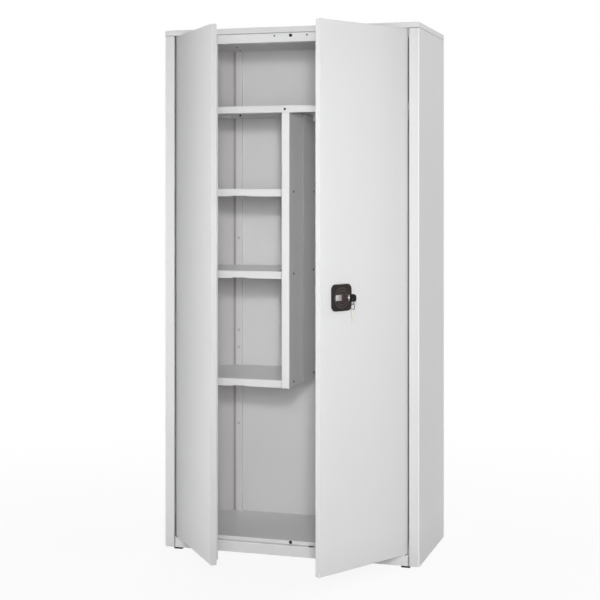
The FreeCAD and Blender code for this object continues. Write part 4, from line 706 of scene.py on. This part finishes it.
def fastener_tree(name, sizes, crossed):
    """Domed heads with a crossed or round recess and a ridged shank, one at each point."""
    shape = Shape(name, sizes)
    radius = shape.size("Head radius")
    rim = shape.size("Rim height")
    shank_length = shape.size("Shank length")
    cells = shape.size("Cells")
    grid = shape.add("GeometryNodeMeshGrid", {},
                     {"Size X": 2.0, "Size Y": 2.0, "Vertices X": cells, "Vertices Y": cells})
    spot = shape.add("ShaderNodeSeparateXYZ", {}, {0: shape.add("GeometryNodeInputPosition", {}, {})})
    x = spot
    y = shape.out(spot, 1)
    round_x = x * (1.0 - y * y * 0.5) ** 0.5 * radius
    round_y = y * (1.0 - x * x * 0.5) ** 0.5 * radius
    disc_place = shape.add("ShaderNodeCombineXYZ", {}, {0: round_x, 1: round_y, 2: 0.0})
    disc = shape.add("GeometryNodeSetPosition", {}, {"Geometry": grid, "Position": disc_place})
    under = shape.add("GeometryNodeFlipFaces", {}, {"Mesh": disc})
    rise = shape.add("ShaderNodeCombineXYZ", {}, {0: 0.0, 1: 0.0, 2: 1.0})
    block = shape.add("GeometryNodeExtrudeMesh", {"mode": "FACES"},
                      {"Mesh": disc, "Offset": rise, "Offset Scale": rim, "Individual": False})
    out_from_middle = (x * x + y * y) / (radius * radius)
    dome = (shape.size("Head height") - rim) * (1.0 - out_from_middle)
    side_x = shape.add("ShaderNodeMath", {"operation": "ABSOLUTE"}, {0: x})
    side_y = shape.add("ShaderNodeMath", {"operation": "ABSOLUTE"}, {0: y})
    width = shape.size("Recess width")
    reach = shape.size("Recess reach")
    if crossed:
        one_arm = smooth_below(shape, side_x, width) * smooth_below(shape, side_y, reach)
        other_arm = smooth_below(shape, side_y, width) * smooth_below(shape, side_x, reach)
        recess = one_arm.maths("MAXIMUM", one_arm, other_arm)
    else:
        recess = smooth_below(shape, (x * x + y * y) ** 0.5, reach)
    rise_here = dome - recess * shape.size("Recess depth")
    up = shape.add("ShaderNodeCombineXYZ", {}, {0: 0.0, 1: 0.0, 2: rise_here})
    head = shape.add("GeometryNodeSetPosition", {},
                     {"Geometry": block, "Selection": shape.out(block, "Top"), "Offset": up})
    rod = shape.add("GeometryNodeMeshCylinder", {},
                    {"Vertices": SHANK_SIDES, "Side Segments": SHANK_RIDGES,
                     "Radius": shape.size("Shank radius"), "Depth": shank_length})
    height = shape.out(spot, 2)
    ridge = shape.add("ShaderNodeMath", {"operation": "PINGPONG"},
                      {0: height, 1: shank_length / SHANK_RIDGES})
    pinch = 1.0 - ridge / shank_length * RIDGE_DEPTH
    thread_place = shape.add("ShaderNodeCombineXYZ", {},
                             {0: x * pinch, 1: y * pinch, 2: height - shank_length * 0.5})
    shank = shape.add("GeometryNodeSetPosition", {}, {"Geometry": rod, "Position": thread_place})
    fastener = shape.add("GeometryNodeJoinGeometry", {}, {"Geometry": [under, head, shank]})
    fastener = shape.add("GeometryNodeMergeByDistance", {}, {"Geometry": fastener, "Distance": WELD})
    heading = shape.add("GeometryNodeInputNamedAttribute", {"data_type": "FLOAT_VECTOR"},
                        {"Name": "heading"})
    facing = shape.add("FunctionNodeAlignRotationToVector", {"axis": "Z"}, {"Vector": heading})
    placed = shape.add("GeometryNodeInstanceOnPoints", {},
                       {"Points": shape.entry, "Instance": fastener, "Rotation": facing})
    spin = shape.add("FunctionNodeRandomValue", {"data_type": "FLOAT"},
                     {"Min": 0.0, "Max": SPIN_TURN, "Seed": SPIN_SEED}, 1)
    about = shape.add("ShaderNodeCombineXYZ", {}, {0: 0.0, 1: 0.0, 2: spin})
    placed = shape.add("GeometryNodeRotateInstances", {},
                       {"Instances": placed, "Rotation": about, "Local Space": True})
    shape.deliver(placed, shape.size("Finish"))
    return shape


def fasteners(name, places, sizes, crossed, move, body, slot, *stands_for):
    """One mesh of heads at places, each a point in millimetres and the way that its head faces."""
    seats = bpy.data.meshes.new("seats")
    seats.from_pydata([tuple(value * MM for value in point) for point, heading in places], [], [])
    direction = seats.attributes.new("heading", "FLOAT_VECTOR", "POINT")
    for index, (point, heading) in enumerate(places):
        direction.data[index].vector = heading
    maker = bpy.data.objects.new(name, seats)
    shape = fastener_tree(name, sizes, crossed)
    nodes = maker.modifiers.new(name, "NODES")
    nodes.node_group = shape.tree
    for label, value in sizes.items():
        nodes[shape.inlets[label]] = value
    settle(name, baked(maker), move, sizes["Finish"], body, slot, *stands_for)


def head_sizes(radius, height, rim, width, reach, depth, shank, length, cells, finish):
    """Named sizes of a fastener, from millimetres."""
    return {"Head radius": radius * MM, "Head height": height * MM, "Rim height": rim * MM,
            "Recess width": width * MM, "Recess reach": reach * MM, "Recess depth": depth * MM,
            "Shank radius": shank * MM, "Shank length": length * MM, "Cells": cells, "Finish": finish}


def rivet_sizes(length, finish):
    """Sizes of a low round rivet head on a shank of the given length."""
    return head_sizes(radius=3.0, height=1.2, rim=0.35, width=1.0, reach=0.9, depth=0.5,
                      shank=1.6, length=length, cells=17, finish=finish)


FORWARD = (0.0, -1.0, 0.0)
REARWARD = (0.0, 1.0, 0.0)
RIGHTWARD = (1.0, 0.0, 0.0)
LEFTWARD = (-1.0, 0.0, 0.0)
DOWNWARD = (0.0, 0.0, -1.0)


def body_fasteners():
    """Screws of the ceiling, shelves and divider, rivets of lintel and angles, and welds on the stiles."""
    screws = [((-22.8, -180.0, 1522.0), FORWARD)]
    screws += [((side * 309.6, 175.0, 1522.0), FORWARD) for side in (-1, 1)]
    for height in SHELF_SCREW_HEIGHTS:
        screws += [((-7.0, y, height), RIGHTWARD) for y in (-130.0, 112.0)]
    for x, y in ((272.0, 32.0), (297.0, 142.0)):
        screws += [((side * x, y, 1760.0), DOWNWARD) for side in (-1, 1)]
    screw = head_sizes(radius=4.0, height=2.4, rim=0.7, width=0.55, reach=2.3, depth=1.3,
                       shank=2.0, length=9.0, cells=25, finish=SCREW_BLACK)
    fasteners("pan_head_screws", screws, screw, True, STILL, "carcass", "black_steel", "body_screws")

    rivet = rivet_sizes(1.9, DARK_RIVET)
    lintel = [((side * 58.0, LEDGE_Y, LINTEL_Z), FORWARD) for side in (-1, 1)]
    fasteners("lintel_rivet_heads", lintel, rivet, False, STILL, "carcass", "powder_coat", "body_rivets")

    rivet = rivet_sizes(0.9, COAT)
    angles = [((448.0, y, ANGLE_HEIGHTS[0]), LEFTWARD) for y in (-120.0, 40.0)]
    for height in ANGLE_HEIGHTS:
        angles += [((-448.0, y, height), RIGHTWARD) for y in (-120.0, 40.0)]
    fasteners("angle_rivet_heads", angles, rivet, False, STILL, "carcass", "powder_coat", "body_rivets")

    weld = head_sizes(radius=3.4, height=0.12, rim=0.04, width=1.0, reach=2.3, depth=0.10,
                      shank=0.8, length=0.6, cells=17, finish=COAT)
    stiles = [((side * 429.2, -210.0, height), FORWARD) for side in (-1, 1) for height in (1772.7, 24.0)]
    fasteners("stile_weld_marks", stiles, weld, False, STILL, "carcass", "powder_coat")


def strip_fasteners():
    """Rivets that hold the closing strip on the left door."""
    rivet = rivet_sizes(1.9, EDGE_COAT)
    places = [((-10.5, -189.0, 202.0 + 280.0 * index), REARWARD) for index in range(6)]
    fasteners("closing_strip_rivet_heads", places, rivet, False, LEFT_OPEN, "left_door", "powder_coat",
              "strip_rivets")


# Buffers and feet

def buffers():
    """Two domed rubber buffers, each with a waist that the sheet grips and a bulb behind it."""
    bulb = [(0, -3.6), (1.6, -3.6), (2.8, -3.1), (3.2, -2.4), (3.2, -1.3), (2.9, -1.0)]
    waist = [(2.5, -1.0), (2.5, 0.0)]
    dome = [(5.3, 0.0), (5.7, 0.2), (5.8, 0.6), (5.7, 1.1), (5.2, 1.6), (4.3, 2.05), (3.0, 2.4),
            (1.6, 2.57), (0.9, 2.58), (0.6, 2.3), (0, 2.25)]
    both = bmesh.new()
    for height in BUFFER_HEIGHTS:
        single = turned(bulb + waist + dome, 28)
        single.transform(at(0.0, LEDGE_Y, height) @ FACE_FRONT)
        both.from_mesh(single)
    mesh = bpy.data.meshes.new("buffers")
    both.to_mesh(mesh)
    both.free()
    settle("domed_buffers", mesh, STILL, RUBBER, "carcass", "black_rubber", "door_buffers")


FOOT_HEIGHT = 6.0


def feet():
    """Four moulded feet with softened edges."""
    for row, y in (("front", -193.0), ("rear", 166.0)):
        for side, x in (("left", -403.0), ("right", 403.0)):
            pad = plate([rounded(30.0, 30.0, 3.0)], FOOT_HEIGHT, 0.8)
            settle(f"{row}_{side}_moulded_foot", pad, at(x, y, FOOT_HEIGHT / 2), BLACK_PLASTIC,
                   "carcass", "black_plastic", f"{row}_{side}_foot")


# Lock and keys, drawn on the shut right door and swung open with it

PLATE_WIDTH = 86.0
PLATE_HEIGHT = 84.8
PLATE_CORNER = 17.0
PLATE_MIDDLE = (0.8, 0.4)
WELL_RADIUS = 34.6
WELL_MOUTH = 36.0
SPINDLE_HOLE = 5.05
SCREW_HOLE = 2.05
SCREW_OFFSET = 33.0


def rounded_lock_plate():
    """Plate with wide corners and a soft edge, and a chamfered well that the knob lies in."""
    slab = plate([rounded(PLATE_WIDTH, PLATE_HEIGHT, PLATE_CORNER, PLATE_MIDDLE, 12)], 9.5, 2.4)
    slab.transform(at(0.0, 0.0, 2.25))
    behind = plate([rounded(120.0, 120.0, 2.0)], 6.0, 0.1)
    behind.transform(at(0.0, 0.0, -3.0))
    well = turned([(0, 3.5), (WELL_RADIUS, 3.5), (WELL_RADIUS, 5.9), (WELL_MOUTH, 7.3),
                   (WELL_MOUTH, 9.0), (0, 9.0)], 96)
    tools = [behind, well, peg(SPINDLE_HOLE, -1.0, 5.0, 32)]
    for side in (-1, 1):
        hole = peg(SCREW_HOLE, -1.0, 3.1, 20)
        hole.transform(at(0.0, side * SCREW_OFFSET, 0.0))
        tools.append(hole)
    place = RIGHT_OPEN @ at(LOCK_X, PLATE_Y, LOCK_Z) @ FACE_FRONT
    settle("rounded_lock_plate", combine("DIFFERENCE", slab, *tools), place, LOCK_PLASTIC, "right_door",
           "lock_plastic", "lock_plate")


def ribbed_knob():
    """Round knob with concentric ribs, a low grip bar and a boss that holds the cylinder."""
    outer_rib = [(33.4, 0), (34.0, 0.5), (34.0, 2.2), (33.2, 3.0), (30.4, 3.0), (29.2, 2.2), (28.6, 0.8)]
    inner_rib = [(25.6, 0.8), (25.0, 2.0), (23.8, 2.9), (19.6, 2.9), (18.4, 2.0), (17.8, 0.8)]
    middle = [(15.2, 0.8), (14.6, 1.8), (13.2, 2.4), (0, 2.4)]
    disc = turned([(0, 0)] + outer_rib + inner_rib + middle, 96)
    bar = plate([rounded(63.0, 21.0, 3.0)], 5.2, 1.4)
    bar.transform(at(0.0, 0.0, 3.1))
    boss = turned([(0, 0.5), (11.5, 0.5), (11.5, 8.6), (10.9, 9.8), (9.9, 10.2), (0, 10.2)], 48)
    boss.transform(at(CYLINDER_OFFSET, 0.0, 0.0))
    bore = peg(8.6, 0.7, 14.0, 48)
    bore.transform(at(CYLINDER_OFFSET, 0.0, 0.0))
    whole = combine("UNION", disc, bar, boss)
    settle("ribbed_lock_knob", combine("DIFFERENCE", whole, bore), KNOB_PLACE, KNOB_PLASTIC, "lock_knob",
           "lock_plastic", "turn_knob")


def bare_label():
    """Bare plate on the grip with a fine rounded edge."""
    mesh = plate([rounded(26.0, 17.5, 1.2)], 0.8, 0.25)
    settle("bare_lock_label", mesh, KNOB_PLACE @ at(-LABEL_OFFSET, 0.7, 6.1), LABEL_METAL, "lock_knob",
           "label_metal", "blank_label")


def key_grip():
    """Oval plastic head of the key with a raised rim round a shallow thumb hollow."""
    link_hole = circle(2.6, (1.0, -6.2), 28, backwards=True)
    slab = plate([rounded(28.0, 24.0, 9.5, (2.0, 0.2)), link_hole], 5.0, 1.0)
    hollows = []
    for side in (-1, 1):
        hollow = plate([rounded(18.0, 12.0, 5.0, (1.8, 3.2))], 3.0, 0.35)
        hollow.transform(at(0.0, 0.0, side * 3.4))
        hollows.append(hollow)
    mesh = combine("DIFFERENCE", slab, *hollows)
    settle("key_grip", mesh, RIGHT_OPEN @ at(KEY_X, KEY_HEAD_Y, LOCK_Z) @ FACE_SIDE, KEY_PLASTIC,
           "turning_key", "black_plastic", "key_head")


def jump_ring():
    """Round-wire link with a butted seam, through the hole in the key's head."""
    mesh = wound(6.5, 0.8, 0.8, 356.0, lambda angle: 0.0, 72, 12)
    seam_down = Matrix.Rotation(math.radians(-150), 4, "Z")
    settle("jump_ring", mesh, RIGHT_OPEN @ at(KEY_X, HANGING_Y, LINK_Z) @ FACE_FRONT @ seam_down,
           RING_STEEL, "hanging_keys", "bright_steel", "key_link")


def split_ring():
    """Ring of two flat turns side by side, with the step where one crosses to the other."""
    def lift(angle):
        share = min(1.0, max(0.0, (angle - 336.0) / 24.0))
        return -0.45 + 0.9 * share * share * (3 - 2 * share)
    mesh = wound(9.0, 0.8, 0.42, 700.0, lift, 150, 12)
    settle("split_ring", mesh, RIGHT_OPEN @ at(KEY_X, HANGING_Y, RING_Z) @ FACE_SIDE, RING_STEEL,
           "hanging_keys", "bright_steel", "key_ring")


def hanging_key():
    """Flat spare key with a waved bow, a milled groove and cut teeth."""
    side = 3.0
    neck = -7.42
    tip = -34.0
    waved = circle(8.0, (0.0, 0.0), 72, 6, 0.5)
    bow = [point for point in waved if point[1] > -7.2 or abs(point[0]) > side]
    start = next(index for index, point in enumerate(bow) if point[1] < -6.0 and point[0] > side)
    bow = bow[start:] + bow[:start]
    back_edge = [(-side, neck), (-side, -32.6), (-1.4, tip), (1.0, tip)]
    teeth = []
    for index, depth in enumerate((0.9, 1.5, 0.6, 1.3)):
        low = tip + 5.0 * (index + 0.5)
        teeth += [(side, low), (side - depth, low + 0.9), (side - depth, low + 2.1), (side, low + 3.0)]
    outline = bow + back_edge + teeth + [(side, -12.0), (side, neck)]
    hole = circle(2.2, (0.0, 3.5), 28, backwards=True)
    blank = plate([outline, hole], 2.0, 0.2)
    tools = []
    for face in (-1, 1):
        groove = plate([rounded(1.3, 24.0, 0.6, (-0.9, -20.5), 5)], 1.2, 0.15)
        groove.transform(at(0.0, 0.0, face * 1.25))
        dish = plate([circle(5.4, (0.0, -1.6), 40)], 1.2, 0.2)
        dish.transform(at(0.0, 0.0, face * 1.35))
        tools += [groove, dish]
    mesh = combine("DIFFERENCE", blank, *tools)
    settle("spare_key_blank", mesh, RIGHT_OPEN @ at(KEY_X, HANGING_Y, SPARE_Z) @ FACE_FRONT, KEY_STEEL,
           "hanging_keys", "bright_steel", "spare_key")


# Stage, light and camera

def floor():
    """Plain pale floor that keeps a soft shadow by the cabinet and reads as white away from it."""
    mesh = bpy.data.meshes.new("floor")
    reach = FLOOR_REACH
    corners = [(-reach, -reach, 0), (reach, -reach, 0), (reach, reach, 0), (-reach, reach, 0)]
    mesh.from_pydata(corners, [], [(0, 1, 2, 3)])
    plane = bpy.data.objects.new("floor", mesh)
    SCENE.collection.objects.link(plane)
    finish = Finish("pale_floor")
    seen = finish.background_share()
    away = finish.add("ShaderNodeVectorMath", {"operation": "LENGTH"}, {0: finish.place}, "Value")
    white_share = finish.ramp(away / FLOOR_WHITE_FROM, (0.30, FLOOR_NEAR_SHARE), (1.0, 1.0))
    matt = finish.add("ShaderNodeBsdfDiffuse", {}, {"Color": shade(250, 250, 250)})
    white = finish.add("ShaderNodeEmission", {}, {"Color": (1.0, 1.0, 1.0, 1.0), "Strength": 1.0})
    mixed = finish.add("ShaderNodeMixShader", {}, {0: seen * white_share, 1: matt, 2: white})
    finish.add("ShaderNodeOutputMaterial", {}, {"Surface": mixed})
    mesh.materials.append(finish.material)


def backdrop():
    """World that lights softly and shows white."""
    world = bpy.data.worlds.new("studio")
    SCENE.world = world
    world.use_nodes = True
    work = Work(world.node_tree)
    work.tree.nodes.clear()
    seen = work.background_share()
    soft = work.add("ShaderNodeBackground", {}, {"Color": (0.97, 0.98, 1.0, 1.0), "Strength": WORLD_LIGHT})
    white = work.add("ShaderNodeBackground", {}, {"Color": (1.0, 1.0, 1.0, 1.0), "Strength": 1.0})
    mixed = work.add("ShaderNodeMixShader", {}, {0: seen, 1: soft, 2: white})
    work.add("ShaderNodeOutputWorld", {}, {"Surface": mixed})


def lamp(name, place, aim, width, height, level, spread):
    """Soft box at a place; its level is a share of plain full light at its aim."""
    light = bpy.data.lights.new(name, "AREA")
    light.shape = "RECTANGLE"
    light.size = width
    light.size_y = height
    light.energy = level * (math.pi * (Vector(aim) - Vector(place)).length) ** 2
    light.spread = math.radians(spread)
    holder = bpy.data.objects.new(name, light)
    SCENE.collection.objects.link(holder)
    holder.location = place
    holder.rotation_euler = (Vector(aim) - Vector(place)).to_track_quat("-Z", "Y").to_euler()
    holder.visible_camera = False


def studio():
    """Eight soft boxes: one by the camera, two that reach inside, and others above, beside and behind."""
    for lamp_row in LAMPS:
        lamp(*lamp_row)


def camera():
    """Level camera to the right of the cabinet's middle, its frame shifted down."""
    lens = bpy.data.cameras.new("camera")
    lens.sensor_width = SENSOR_WIDTH
    lens.lens = FOCAL_LENGTH
    lens.shift_x = FRAME_SHIFT_X
    lens.shift_y = FRAME_SHIFT_Y
    eye = bpy.data.objects.new("camera", lens)
    SCENE.collection.objects.link(eye)
    eye.location = EYE_PLACE
    eye.rotation_euler = (math.pi / 2, 0.0, math.radians(EYE_TURN))
    SCENE.camera = eye


dress_nodes()
body_fasteners()
strip_fasteners()
buffers()
feet()
rounded_lock_plate()
ribbed_knob()
bare_label()
key_grip()
jump_ring()
split_ring()
hanging_key()
floor()
backdrop()
studio()
camera()
SCENE.view_settings.view_transform = "Standard"
